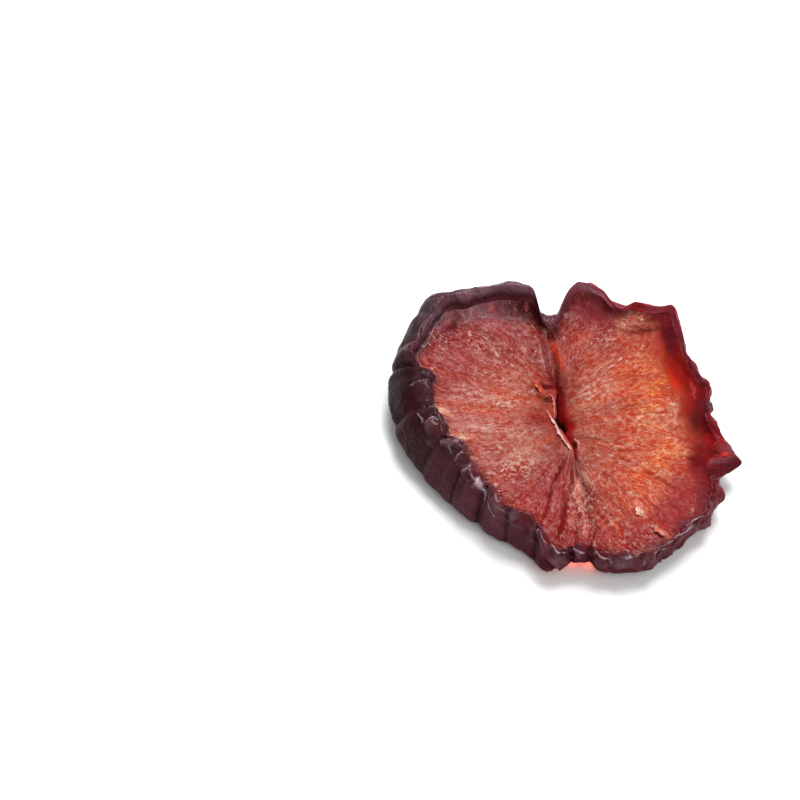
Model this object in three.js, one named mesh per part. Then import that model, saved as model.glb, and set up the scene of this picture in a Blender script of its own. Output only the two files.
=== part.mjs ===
// Dried plum slice: one slice cut across a stoned plum and dried whole, in its skin.
// Millimetres, +Z up. The origin is on the surface under the middle of the slice.
// Flesh and skin grew together and stay one piece, so the slice is a single solid. It is a
// closed loft: a cross-section runs from the slit that the stone left, over the cut face to
// the skin's edge, down the skin wall and back underneath, and it is carried round the slit.
import * as THREE from "three";

const TURN = 2 * Math.PI;
const radians = THREE.MathUtils.degToRad;

// ---- Driving dimensions ----------------------------------------------------------------

const SLICE = { name: "plum_slice", colour: "#8e2f33", roughness: 0.55, metalness: 0 };

// The hub is the point in plan about which everything is measured.
const HUB = { x: -0.5, y: 1.1 };

// The slit: its middle from the hub, the way it points, its half length and half width, and
// how far its middle bows to the left.
const SLIT = {
  x: 0.6, y: 0.45, heading: radians(101), halfLength: 5.4, halfWidth: 0.07, bow: 1.0,
};

// Where the slit is open as a hole: how far its lips part there beyond the slit's own half
// width, the turn round the slit's ellipse from its heading, and the turn that it spreads.
const HOLE = { halfWidth: 0.85, turn: radians(97), spread: radians(10) };

// A measure that changes round the slice is a list of stations: [degrees about the hub,
// counterclockwise from +X; millimetres]. A smooth curve joins the stations.

// Outline: how far the skin reaches from the hub.
const REACH = [
  [4, 20.6], [11, 21.0], [14.5, 21.4], [18.5, 21.0], [25, 20.7], [33, 21.0], [40, 22.5],
  [45.5, 23.6], [50.6, 24.9], [53.8, 23.6], [57.5, 22.9], [62.5, 22.8], [65.5, 21.8], [70, 21.7],
  [74.5, 22.7], [83, 22.9], [87, 21.4], [91.5, 19.6], [94.5, 19.3], [98, 19.8], [100.5, 22.2],
  [104, 22.9], [114, 24.4], [125.5, 25.8], [132, 27.3], [140, 26.4], [148, 25.8], [159, 25.1],
  [168, 24.3], [174, 23.5], [182, 22.9], [188.5, 21.8], [203, 20.5], [215, 19.7], [231, 19.6],
  [243.5, 20.1], [254, 20.7], [259, 22.2], [263.5, 23.5], [269, 23.5], [273.5, 22.9],
  [278.5, 23.1], [281, 24.3], [288.5, 25.4], [296.5, 26.4], [301, 26.0], [306, 25.9],
  [314, 25.2], [320, 25.6], [325.5, 24.9], [329.5, 25.0], [332, 24.6], [337, 23.4],
  [341.5, 24.5], [345, 25.3], [347.5, 24.3], [351, 23.3], [357.5, 21.3],
];

// Width in plan of the band of skin seen from above: steep at the front, sloping at the left.
const BAND = [
  [0, 1.0], [12, 0.8], [20, 1.1], [30, 0.9], [45, 1.2], [60, 0.8], [75, 0.8], [83, 1.2],
  [89, 2.3], [94, 2.9], [99, 2.5], [104, 2.7], [120, 3.1], [130, 3.9], [144, 3.8], [150, 4.1],
  [157, 3.4], [161, 4.4], [166, 6.6], [170, 6.1], [178, 5.8], [192, 5.4], [198, 4.9],
  [204, 5.7], [212, 4.8], [222, 3.9], [235, 3.1], [243, 2.1], [252, 2.4], [259, 3.1],
  [264, 2.3], [268, 0.9], [285, 0.6], [300, 0.6], [314, 0.6], [325, 0.8], [330, 1.4],
  [338, 2.2], [343, 3.8], [347, 3.5], [352, 1.6],
];

// Where in that band its crest stands: 0 at the outline, 1 at the skin's inner edge.
const CREST_PLACE = [
  [0, 0.4], [60, 0.35], [90, 0.5], [102, 0.65], [108, 0.72], [132, 0.72], [150, 0.75],
  [165, 0.85], [200, 0.85], [240, 0.8], [258, 0.75], [268, 0.5], [300, 0.45], [340, 0.6],
];

// Heights of the skin: its crest, its inner edge, its widest point and its hem underneath.
const CREST_HEIGHT = [
  [0, 5.2], [14, 5.6], [33, 6.0], [50, 6.8], [60, 6.7], [65, 6.2], [75, 7.1], [83, 8.1],
  [87, 7.5], [91.5, 5.4], [97.5, 5.6], [100.5, 8.9], [104, 9.2], [118, 9.5], [133, 9.4],
  [150, 9.0], [170, 9.0], [190, 8.7], [210, 8.2], [230, 7.6], [250, 6.9], [262, 5.8],
  [270, 5.2], [283, 5.2], [300, 5.0], [320, 4.7], [333, 4.6], [338, 3.4], [344, 4.6],
  [352, 4.6],
];
const EDGE_HEIGHT = [
  [0, 4.8], [20, 5.2], [50, 6.0], [65, 5.6], [83, 7.0], [94, 4.9], [104, 7.3], [125, 7.3],
  [140, 7.7], [160, 7.8], [180, 7.9], [200, 7.6], [220, 7.2], [240, 6.5], [258, 5.8],
  [267, 4.6], [285, 4.6], [300, 4.5], [330, 4.2], [345, 4.3],
];
const WAIST_HEIGHT = [
  [0, 4.4], [30, 4.8], [60, 4.6], [80, 4.5], [94, 3.8], [104, 6.2], [125, 6.2], [140, 6.0],
  [150, 5.2], [160, 4.2], [175, 3.3], [190, 2.6], [205, 2.0], [230, 1.5], [250, 1.2],
  [270, 1.9], [276, 2.2], [285, 1.9], [300, 2.2], [315, 2.7], [330, 3.1], [345, 3.5],
];
const HEM_HEIGHT = [
  [0, 3.3], [30, 3.5], [60, 3.2], [90, 2.4], [110, 2.6], [130, 2.2], [150, 1.6], [175, 1.0],
  [200, 0.7], [230, 0.5], [250, 0.5], [262, 0.6], [270, 1.1], [276, 1.5], [281, 1.0],
  [290, 0.8], [300, 1.2], [320, 1.8], [345, 2.7],
];
const HEM_TUCK = [
  [0, 0.7], [60, 0.9], [100, 2.0], [130, 2.2], [170, 2.0], [200, 1.4], [240, 1.0], [270, 0.6],
  [300, 0.6], [345, 0.8],
];

// Heights of the cut face, from the foot of the skin's edge in to the slit.
const FOOT_DROP = [
  [0, 0.3], [50, 0.5], [70, 1.2], [83, 1.6], [94, 1.2], [105, 1.7], [125, 1.7], [140, 1.0],
  [160, 0.7], [200, 0.6], [240, 0.5], [270, 0.5], [300, 0.3], [340, 0.4],
];
const OUTER_FLESH = [
  [0, 4.2], [30, 4.6], [60, 4.6], [75, 4.3], [95, 4.6], [115, 5.2], [140, 5.9], [170, 6.3],
  [200, 6.2], [225, 5.8], [250, 5.0], [270, 4.0], [290, 4.3], [315, 4.2], [340, 4.0],
];
const INNER_FLESH = [
  [0, 4.3], [40, 4.5], [80, 4.3], [95, 3.9], [110, 4.7], [150, 5.2], [190, 5.3], [230, 5.0],
  [260, 4.4], [275, 3.7], [290, 4.2], [320, 4.3],
];
const SLIT_BROW = [
  [0, 3.9], [60, 4.0], [95, 3.6], [115, 4.5], [180, 4.7], [250, 4.5], [275, 3.7], [300, 3.8],
];
const SLIT_EDGE = [
  [0, 2.6], [60, 3.0], [90, 3.2], [108, 3.9], [140, 4.5], [200, 4.7], [250, 4.5], [278, 3.7],
  [296, 2.8], [320, 2.5],
];

// Heights underneath. Below zero the flesh was pressed flat on the drying tray.
const OUTER_UNDERSIDE = [
  [0, 2.1], [60, 2.0], [100, 1.4], [150, 0.9], [200, 0.5], [250, 0.35], [276, 0.9], [300, 0.6],
  [330, 1.3],
];
const INNER_UNDERSIDE = [
  [0, 0.2], [60, 0.1], [120, -0.1], [200, -0.3], [270, -0.25], [330, 0],
];
const PRESSED_FLESH = -0.15;
const SLIT_UNDERSIDE = 0.9;

// Distances along the cut face: the slit's brow and the foot of the skin's edge in
// millimetres, and the flesh between them as shares of the way out.
const BROW_WIDTH = 1.5;
const FOOT_WIDTH = 1.0;
const FLESH_SHARES = { inner: 0.38, outer: 0.74 };
const UNDERSIDE_SHARES = { outer: 0.78, inner: 0.42, pressed: 0.18 };
// The skin wall's shoulder: its share of the way out to the crest, and up to the crest.
const SHOULDER = { out: 0.4, up: 0.7 };

// Pleats that the skin was drawn into as it shrank: where, half width in degrees, depth in
// millimetres, and how many degrees the pleat leans on its way down the wall.
const PLEATS = [
  [9, 2, 0.35, 1], [28, 2.5, 0.35, 2], [66, 2.5, 0.5, 1], [112, 3, 0.3, 5],
  [124, 2.5, 0.25, -4], [141, 2.2, 0.4, -3], [151, 2.5, 0.45, 4], [163.5, 1.7, 1.1, -5],
  [175, 3, 0.3, 6], [184, 2, 0.65, -6], [196, 2.6, 0.75, 5], [204, 1.8, 0.35, 7],
  [212, 2.4, 0.8, 8], [219.5, 1.8, 0.45, 3], [227, 2.6, 0.85, 7], [237, 2, 0.4, -4],
  [243, 2.2, 0.7, 5], [252, 1.8, 0.45, -3], [257, 1.8, 0.8, 3], [265, 1.6, 0.5, 1],
  [272.6, 1.2, 0.7, 0], [279.4, 1.4, 1.3, 0], [284.3, 0.9, 0.4, 0], [293.6, 1.3, 0.6, 1],
  [299.6, 1.8, 0.5, -1], [309, 2.4, 0.45, -4], [317, 2, 0.5, 4], [326, 2, 0.35, -2],
  [336, 2, 0.6, -2], [353, 1.8, 0.35, 0],
];

// Finer puckers of the skin: waves round the slice, height in millimetres, start and twist.
const PUCKERS = [
  [13, 0.12, 1.3, 2.0], [23, 0.1, 4.1, -3.0], [37, 0.06, 0.7, 4.0],
];

// Creases of the cut face along the plum's seam, each running out from the slit: heading
// in degrees by the slit and how far it veers on the way out, half width, depth.
const CREASES = [
  { heading: 95, veer: 1, halfWidth: 5, depth: 0.9 },
  { heading: 287, veer: -13, halfWidth: 7, depth: 0.9 },
];

// Hollows and low ridges that the cut face dried into: middle in plan, heading in degrees,
// half length, half width, and height, which is below zero for a hollow.
const HOLLOWS = [
  [4.8, 19.6, 30, 3.4, 2.4, -0.8], [-1.4, 8.6, 105, 3, 0.9, -0.7],
  [-0.9, 13.6, 104, 3.4, 0.7, 0.45], [9.6, 18.8, 8, 3.2, 0.9, 0.35],
  [10.6, 17, 4, 2.6, 0.8, -0.5], [-3, 4.9, 165, 1.5, 0.6, -0.45],
  [-2.4, 7.3, 15, 1.3, 0.7, -0.45], [-3.5, 6.9, 115, 1.5, 0.45, 0.35],
  [-6, 19.4, 172, 7, 1.2, -0.5],
];

// The knots of the cross-section in order, from the slit's upper edge round to its lower
// edge. For each stretch to the next knot: rows of faces, and columns round the slice. For
// each knot: how much it takes of the pleats, and of the creases.
const SECTION = [
  { knot: "slit edge", rows: 1, columns: 75, pleated: 0, creased: 0 },
  { knot: "slit brow", rows: 2, columns: 75, pleated: 0, creased: 0.5 },
  { knot: "inner flesh", rows: 3, columns: 150, pleated: 0, creased: 1 },
  { knot: "outer flesh", rows: 2, columns: 150, pleated: 0, creased: 1 },
  { knot: "foot", rows: 1, columns: 300, pleated: 0.1, creased: 0.6 },
  { knot: "skin edge", rows: 2, columns: 300, pleated: 0.55, creased: 0 },
  { knot: "crest", rows: 3, columns: 300, pleated: 1, creased: 0 },
  { knot: "shoulder", rows: 2, columns: 300, pleated: 0.85, creased: 0 },
  { knot: "waist", rows: 2, columns: 300, pleated: 0.4, creased: 0 },
  { knot: "hem", rows: 1, columns: 300, pleated: 0.25, creased: 0 },
  { knot: "outer underside", rows: 3, columns: 150, pleated: 0, creased: 0 },
  { knot: "inner underside", rows: 1, columns: 75, pleated: 0, creased: 0 },
  { knot: "pressed flesh", rows: 1, columns: 75, pleated: 0, creased: 0 },
  { knot: "slit underside", rows: 1, columns: 75, pleated: 0, creased: 0 },
];
const FOOT_KNOT = 4;
const HEM_KNOT = 9;

// ---- Curves ----------------------------------------------------------------------------

// A closed curve through (places, values) that never swings past its stations: cubic
// pieces whose slope at a station is the harmonic mean of its two neighbours' slopes, and
// zero where the values turn. `period` is the length of one round.
function smoothLoop(places, values, period) {
  const count = places.length;
  const gap = places.map((place, i) => (i + 1 < count ? places[i + 1] - place
    : places[0] + period - place));
  const slope = values.map((value, i) => (values[(i + 1) % count] - value) / gap[i]);
  const tangent = slope.map((after, i) => {
    const before = slope[(i + count - 1) % count];
    return before * after > 0 ? (2 * before * after) / (before + after) : 0;
  });
  return (place) => {
    const along = places[0] + THREE.MathUtils.euclideanModulo(place - places[0], period);
    let i = count - 1;
    while (places[i] > along) i -= 1;
    const next = (i + 1) % count;
    const u = (along - places[i]) / gap[i];
    return (1 + 2 * u) * (1 - u) ** 2 * values[i] + u * (1 - u) ** 2 * gap[i] * tangent[i]
      + u * u * (3 - 2 * u) * values[next] + u * u * (u - 1) * gap[i] * tangent[next];
  };
}

// A measure round the slice, as a function of the angle in radians.
function ring(stations) {
  return smoothLoop(stations.map(([degrees]) => radians(degrees)),
    stations.map(([, millimetres]) => millimetres), TURN);
}

// A measure round the cross-section, as a function of the place counted in knots.
function aroundSection(values) {
  return smoothLoop(values.map((_, knot) => knot), values, values.length);
}

const reach = ring(REACH);
const band = ring(BAND);
const crestPlace = ring(CREST_PLACE);
const crestHeight = ring(CREST_HEIGHT);
const edgeHeight = ring(EDGE_HEIGHT);
const waistHeight = ring(WAIST_HEIGHT);
const hemHeight = ring(HEM_HEIGHT);
const hemTuck = ring(HEM_TUCK);
const footDrop = ring(FOOT_DROP);
const outerFlesh = ring(OUTER_FLESH);
const innerFlesh = ring(INNER_FLESH);
const slitBrow = ring(SLIT_BROW);
const slitEdge = ring(SLIT_EDGE);
const outerUnderside = ring(OUTER_UNDERSIDE);
const innerUnderside = ring(INNER_UNDERSIDE);
const pleated = aroundSection(SECTION.map((stretch) => stretch.pleated));
const creased = aroundSection(SECTION.map((stretch) => stretch.creased));

// A smooth bump: 1 at no distance, about a third at the half width.
function bell(distance, halfWidth) {
  return Math.exp(-((distance / halfWidth) ** 2));
}

// The shorter way round from the second angle to the first, in degrees.
function degreesBetween(first, second) {
  return THREE.MathUtils.euclideanModulo(first - second + 180, 360) - 180;
}

// ---- Surface ---------------------------------------------------------------------------

// The slit's edge in plan from the hub: a slim bowed ellipse, wider where the hole is.
function slitPoint(angle) {
  const turned = angle - SLIT.heading;
  const fromHole = Math.abs(radians(degreesBetween(THREE.MathUtils.radToDeg(turned), 0)))
    - HOLE.turn;
  const halfWidth = SLIT.halfWidth + HOLE.halfWidth * bell(fromHole, HOLE.spread);
  const across = halfWidth * Math.sin(turned) + SLIT.bow * Math.sin(turned) ** 2;
  return new THREE.Vector2(SLIT.halfLength * Math.cos(turned), across)
    .rotateAround(new THREE.Vector2(), SLIT.heading)
    .add(new THREE.Vector2(SLIT.x, SLIT.y));
}

// The cross-section at one angle: `out` is the distance from the slit's edge along the
// ray, `up` the height, both as functions of the place round the section.
function sectionAt(angle, rayLength) {
  const bandWidth = band(angle);
  const crestIn = bandWidth * crestPlace(angle);
  const waist = waistHeight(angle);
  const crest = crestHeight(angle);
  const edge = edgeHeight(angle);
  const faceWidth = rayLength - bandWidth;
  const knots = [
    [0, slitEdge(angle)],
    [BROW_WIDTH, slitBrow(angle)],
    [FLESH_SHARES.inner * faceWidth, innerFlesh(angle)],
    [FLESH_SHARES.outer * faceWidth, outerFlesh(angle)],
    [faceWidth - FOOT_WIDTH, edge - footDrop(angle)],
    [faceWidth, edge],
    [rayLength - crestIn, crest],
    [rayLength - SHOULDER.out * crestIn, waist + SHOULDER.up * (crest - waist)],
    [rayLength, waist],
    [rayLength - hemTuck(angle), hemHeight(angle)],
    [UNDERSIDE_SHARES.outer * rayLength, outerUnderside(angle)],
    [UNDERSIDE_SHARES.inner * rayLength, innerUnderside(angle)],
    [UNDERSIDE_SHARES.pressed * rayLength, PRESSED_FLESH],
    [0, SLIT_UNDERSIDE],
  ];
  return {
    out: aroundSection(knots.map(([out]) => out)),
    up: aroundSection(knots.map(([, up]) => up)),
  };
}

// How far the surface stands out from its smooth form: pleats and creases go in, puckers
// both ways. A pleat or a crease is a bell-shaped groove across its line, and a hollow is
// a long bell in plan.
function relief(angle, place, share, plan) {
  const degrees = THREE.MathUtils.radToDeg(angle);
  const downWall = THREE.MathUtils.clamp((place - FOOT_KNOT) / (HEM_KNOT - FOOT_KNOT), 0, 1);
  let skin = 0;
  for (const [at, halfWidth, depth, lean] of PLEATS) {
    const offset = degreesBetween(degrees, at + lean * downWall);
    skin -= depth * bell(offset, halfWidth);
  }
  for (const [waves, height, start, twist] of PUCKERS) {
    skin += height * Math.sin(waves * angle + start + twist * downWall);
  }
  let face = 0;
  for (const [x, y, heading, halfLength, halfWidth, height] of HOLLOWS) {
    const away = plan.clone().sub(new THREE.Vector2(x, y))
      .rotateAround(new THREE.Vector2(), -radians(heading));
    face += height * bell(away.x, halfLength) * bell(away.y, halfWidth);
  }
  for (const { heading, veer, halfWidth, depth } of CREASES) {
    const offset = degreesBetween(degrees, heading + veer * share);
    face -= depth * bell(offset, halfWidth);
  }
  return skin * pleated(place) + face * creased(place);
}

// One point of the surface: the section's point, moved by the relief along the section's
// own normal, and never below the surface that the slice lies on.
function surfacePoint(angle, place, section, slit, ray, rayLength) {
  const step = 0.05;
  const along = new THREE.Vector2(section.out(place + step) - section.out(place - step),
    section.up(place + step) - section.up(place - step)).normalize();
  const plan = new THREE.Vector2(HUB.x, HUB.y).add(slit)
    .addScaledVector(ray, section.out(place));
  const height = relief(angle, place, section.out(place) / rayLength, plan);
  const out = section.out(place) - height * along.y;
  const up = section.up(place) + height * along.x;
  return new THREE.Vector3(HUB.x + slit.x + ray.x * out, HUB.y + slit.y + ray.y * out,
    Math.max(up, 0));
}

// One row of points round the slice for each row of faces.
function surfaceRows() {
  const rows = SECTION.flatMap(({ rows: count, columns }, knot) => (
    Array.from({ length: count }, (_, i) => ({ place: knot + i / count, columns, points: [] }))));
  const finest = Math.max(...rows.map((row) => row.columns));
  for (let column = 0; column < finest; column += 1) {
    const angle = (TURN * column) / finest;
    const slit = slitPoint(angle);
    const rim = new THREE.Vector2(reach(angle), 0).rotateAround(new THREE.Vector2(), angle);
    const ray = rim.sub(slit);
    const rayLength = ray.length();
    ray.normalize();
    const section = sectionAt(angle, rayLength);
    for (const row of rows) {
      if ((column * row.columns) % finest !== 0) continue;
      row.points.push(surfacePoint(angle, row.place, section, slit, ray, rayLength));
    }
  }
  return rows;
}

// Triangles between two neighbouring rows, of which one may have twice the columns.
function bridge(first, second, firstStart, secondStart) {
  const triangles = [];
  const columns = Math.max(first, second);
  for (let column = 0; column < columns; column += 1) {
    const next = (column + 1) % columns;
    const a = firstStart + Math.floor((column * first) / columns);
    const b = secondStart + Math.floor((column * second) / columns);
    const c = secondStart + Math.floor((next * second) / columns);
    const d = firstStart + Math.floor((next * first) / columns);
    if (b !== c) triangles.push(a, b, c);
    if (a !== d) triangles.push(a, c, d);
  }
  return triangles;
}

function sliceGeometry() {
  const rows = surfaceRows();
  const starts = [];
  let total = 0;
  for (const row of rows) {
    starts.push(total);
    total += row.points.length;
  }
  const index = rows.flatMap((row, i) => {
    const next = (i + 1) % rows.length;
    return bridge(row.columns, rows[next].columns, starts[i], starts[next]);
  });
  const geometry = new THREE.BufferGeometry().setFromPoints(rows.flatMap((row) => row.points));
  geometry.setIndex(index);
  geometry.computeVertexNormals();
  return geometry;
}

// ---- The part --------------------------------------------------------------------------

const slice = new THREE.Mesh(sliceGeometry(), new THREE.MeshStandardMaterial({
  color: SLICE.colour,
  roughness: SLICE.roughness,
  metalness: SLICE.metalness,
}));
slice.name = SLICE.name;

const driedPlumSlice = new THREE.Group();
driedPlumSlice.add(slice);

export default driedPlumSlice;
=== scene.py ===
"""Dried plum slice: the finished look of one slice of plum, dried in its skin.

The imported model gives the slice's place and size. This script lays a finer surface of the
same form over it, dresses flesh and skin, and sets up the floor, the lights and the camera.
Lengths of the slice are in millimetres until a mesh is made, which is in metres.
"""
from __future__ import annotations

import logging
import math
from collections.abc import Sequence
from dataclasses import dataclass, field
from enum import IntEnum

import bmesh
import bpy
import numpy as np
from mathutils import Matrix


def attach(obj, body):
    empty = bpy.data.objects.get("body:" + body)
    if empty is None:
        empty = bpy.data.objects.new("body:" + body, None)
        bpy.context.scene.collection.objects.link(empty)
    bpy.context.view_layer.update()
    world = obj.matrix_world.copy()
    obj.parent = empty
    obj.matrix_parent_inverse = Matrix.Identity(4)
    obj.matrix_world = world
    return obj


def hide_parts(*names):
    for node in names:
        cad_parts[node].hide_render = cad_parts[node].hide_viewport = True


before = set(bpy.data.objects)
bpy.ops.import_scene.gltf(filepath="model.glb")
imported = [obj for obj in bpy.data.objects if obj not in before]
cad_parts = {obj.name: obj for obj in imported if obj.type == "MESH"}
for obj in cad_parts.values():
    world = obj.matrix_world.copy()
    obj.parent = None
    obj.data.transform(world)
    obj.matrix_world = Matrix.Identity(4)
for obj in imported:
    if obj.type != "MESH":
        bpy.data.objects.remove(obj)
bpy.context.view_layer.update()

Array = np.ndarray
Socket = bpy.types.NodeSocket
LOG = logging.getLogger("plum_slice")
TURN = 2 * math.pi
METRE = 0.001  # one millimetre in metres
RIM_RADIUS = 23.5  # of the skin's unrolled band
RIM_MM_PER_DEGREE = 0.41
WALL_COLUMNS = 256  # of the walls hidden inside the slice
PIGMENT = 0.74  # how much darker than its code a colour is laid
CODE_KNEE, CODE_SLOPE, CODE_OFFSET, CODE_POWER = 0.04045, 12.92, 0.055, 2.4


# ---- Curves and noise ----


class SmoothLoop:
    """A closed curve through stations that never swings past them.

    Between two stations it is a cubic whose end slopes are the harmonic mean of the two
    neighbouring slopes, and zero where the values turn.
    """

    def __init__(self, places: Array, values: Array, period: float) -> None:
        """Work out the slope at each station.

        Args:
            places: Station positions, rising, one period at most.
            values: One row of values for each station.
            period: Length of one round.
        """
        self.places, self.values, self.period = places, values, period
        shape = (-1,) + (1,) * (values.ndim - 1)
        self.gaps = np.diff(places, append=places[0] + period)
        after = (np.roll(values, -1, axis=0) - values) / self.gaps.reshape(shape)
        before = np.roll(after, 1, axis=0)
        turns = before * after <= 0
        total = np.where(turns, 1.0, before + after)
        self.slopes = np.where(turns, 0.0, 2 * before * after / total)

    def __call__(self, at: Array) -> Array:
        """Evaluate the curve.

        Args:
            at: Positions round the loop, any shape for plain values, a list for rows.

        Returns:
            The values there, one row for each position.
        """
        along = self.places[0] + np.mod(at - self.places[0], self.period)
        i = np.searchsorted(self.places, along, side="right") - 1
        j = (i + 1) % len(self.places)
        extra = (1,) * (self.values.ndim - 1)
        gap = self.gaps[i].reshape(i.shape + extra)
        u = (along - self.places[i]).reshape(i.shape + extra) / gap
        return ((1 + 2 * u) * (1 - u) ** 2 * self.values[i]
                + u * (1 - u) ** 2 * gap * self.slopes[i]
                + u * u * (3 - 2 * u) * self.values[j]
                + u * u * (u - 1) * gap * self.slopes[j])


Stations = Sequence[tuple[float, float]]


def ring(stations: Stations) -> SmoothLoop:
    """Return a measure given at degrees round the slice as a function of the angle."""
    table = np.array(stations, dtype=float)
    return SmoothLoop(np.radians(table[:, 0]), table[:, 1], TURN)


@dataclass(frozen=True)
class Noise:
    """Smooth gradient noise in space, about -1 to 1, the same on every run."""

    seed: int
    step: float | tuple[float, ...] = 1  # size of a lattice cell
    lattice: int = 256  # cells until it repeats
    gain: float = 1.6
    crest_gain: float = 1.8
    jitter: tuple[float, float] = (0.1, 0.9)  # of a facet's centre in its cell
    facet_slope: float = 0.5
    far: float = 9.0  # further than any facet's centre

    def picks(self, shuffle: Array, cell: Array) -> Array:
        """Return the number in the shuffled row that belongs to each lattice cell."""
        x, y, z = np.moveaxis(cell % self.lattice, -1, 0)
        return shuffle[(shuffle[(shuffle[x] + y) % self.lattice] + z) % self.lattice]

    def __call__(self, points: Array) -> Array:
        """Blend the slopes drawn for the eight corners of each point's lattice cell.

        Args:
            points: Positions, last axis x, y, z.

        Returns:
            One value for each point.
        """
        draw = np.random.default_rng(self.seed)
        shuffle = draw.permutation(self.lattice)
        slopes = draw.normal(size=(self.lattice, 3))
        slopes /= np.linalg.norm(slopes, axis=1, keepdims=True)
        points = points / np.array(self.step)
        cell = np.floor(points).astype(int)
        inside = points - cell
        fade = inside ** 3 * (inside * (inside * 6 - 15) + 10)
        total = np.zeros(points.shape[:-1])
        for corner in np.ndindex(2, 2, 2):
            rise = np.sum(slopes[self.picks(shuffle, cell + corner)] * (inside - corner), axis=-1)
            total += np.prod(np.where(corner, fade, 1 - fade), axis=-1) * rise
        return total * self.gain

    def ridges(self, points: Array) -> Array:
        """Return sharp crests where the noise crosses zero: 1 on a crest, 0 far from it."""
        return (1 - np.clip(np.abs(self(points)) * self.crest_gain, 0, 1)) ** 2

    def facets(self, points: Array) -> tuple[Array, Array]:
        """Split space into cells round scattered centres, like a creased sheet.

        Args:
            points: Positions, last axis x, y, z.

        Returns:
            The way from the nearest border between two cells, and a tilt: how far the point
            lies up its own cell's slope.
        """
        draw = np.random.default_rng(self.seed)
        shuffle = draw.permutation(self.lattice)
        jitter = draw.uniform(*self.jitter, size=(self.lattice, 3))
        slopes = draw.normal(size=(self.lattice, 3)) * self.facet_slope
        points = points / np.array(self.step)
        cell = np.floor(points).astype(int)
        first = np.full(points.shape[:-1], self.far)
        second = first.copy()
        tilt = np.zeros_like(first)
        for corner in np.ndindex(3, 3, 3):
            at = cell + corner - 1
            pick = self.picks(shuffle, at)
            away = points - (at + jitter[pick])
            distance = np.linalg.norm(away, axis=-1)
            nearer = distance < first
            second = np.where(nearer, first, np.minimum(second, distance))
            tilt = np.where(nearer, np.sum(slopes[pick] * away, axis=-1), tilt)
            first = np.where(nearer, distance, first)
        return second - first, tilt


def bell(distance: Array, half_width: float | Array) -> Array:
    """Return a smooth bump: 1 at no distance, about a third at the half width."""
    return np.exp(-(distance / half_width) ** 2)


@dataclass(frozen=True)
class Step:
    """A soft step from 0 at `low` to 1 at `high`, which may be the smaller one."""

    low: float
    high: float

    def __call__(self, value: Array) -> Array:
        """Return the share from 0 to 1 that each value has climbed."""
        t = np.clip((value - self.low) / (self.high - self.low), 0, 1)
        return t * t * (3 - 2 * t)


def partly(least: float, share: Array) -> Array:
    """Return a factor that is `least` where the share is 0, and 1 where it is 1."""
    return least + (1 - least) * share


def wander(noises: Sequence[Noise], points: Array) -> Array:
    """Return one noise for each part of a way that bends a pattern, as the last axis."""
    return np.stack([noise(points) for noise in noises], axis=-1)


def stroke(plan: Array, x: float, y: float, heading: float, half_length: float,
           half_width: float) -> Array:
    """Work out a long bell in plan: the bell of the way along its heading and across it.

    Args:
        plan: Places, last axis x and y.
        x: Its middle to the right.
        y: Its middle to the back.
        heading: Degrees to its long side.
        half_length: Half of its length.
        half_width: Half of its width.

    Returns:
        The share from 0 to 1 at each place.
    """
    turn = math.radians(heading)
    east, north = plan[..., 0] - x, plan[..., 1] - y
    along = (east * math.cos(turn) + north * math.sin(turn)) / half_length
    across = (north * math.cos(turn) - east * math.sin(turn)) / half_width
    return np.exp(-along ** 2 - across ** 2)


def degrees_between(first: Array, second: Array | float) -> Array:
    """Return the shorter way round from `second` to `first`, in degrees."""
    return np.mod(first - second + 180, 360) - 180


# ---- Form ----


class Knot(IntEnum):
    """Knots of the cross-section, from the slit's upper edge round to its lower edge."""

    SLIT_EDGE = 0
    SLIT_BROW = 1
    INNER_FLESH = 2
    OUTER_FLESH = 3
    FOOT = 4
    SKIN_EDGE = 5
    CREST = 6
    SHOULDER = 7
    WAIST = 8
    HEM = 9
    OUTER_UNDERSIDE = 10
    INNER_UNDERSIDE = 11
    PRESSED_FLESH = 12
    SLIT_UNDERSIDE = 13


def down_wall(place: Array) -> Array:
    """Return how far each row is down the skin, from 0 at the flesh to 1 at the hem."""
    wall = (place - Knot.FOOT) / (Knot.HEM - Knot.FOOT)
    return np.clip(wall, 0, 1)[:, None]


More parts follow.
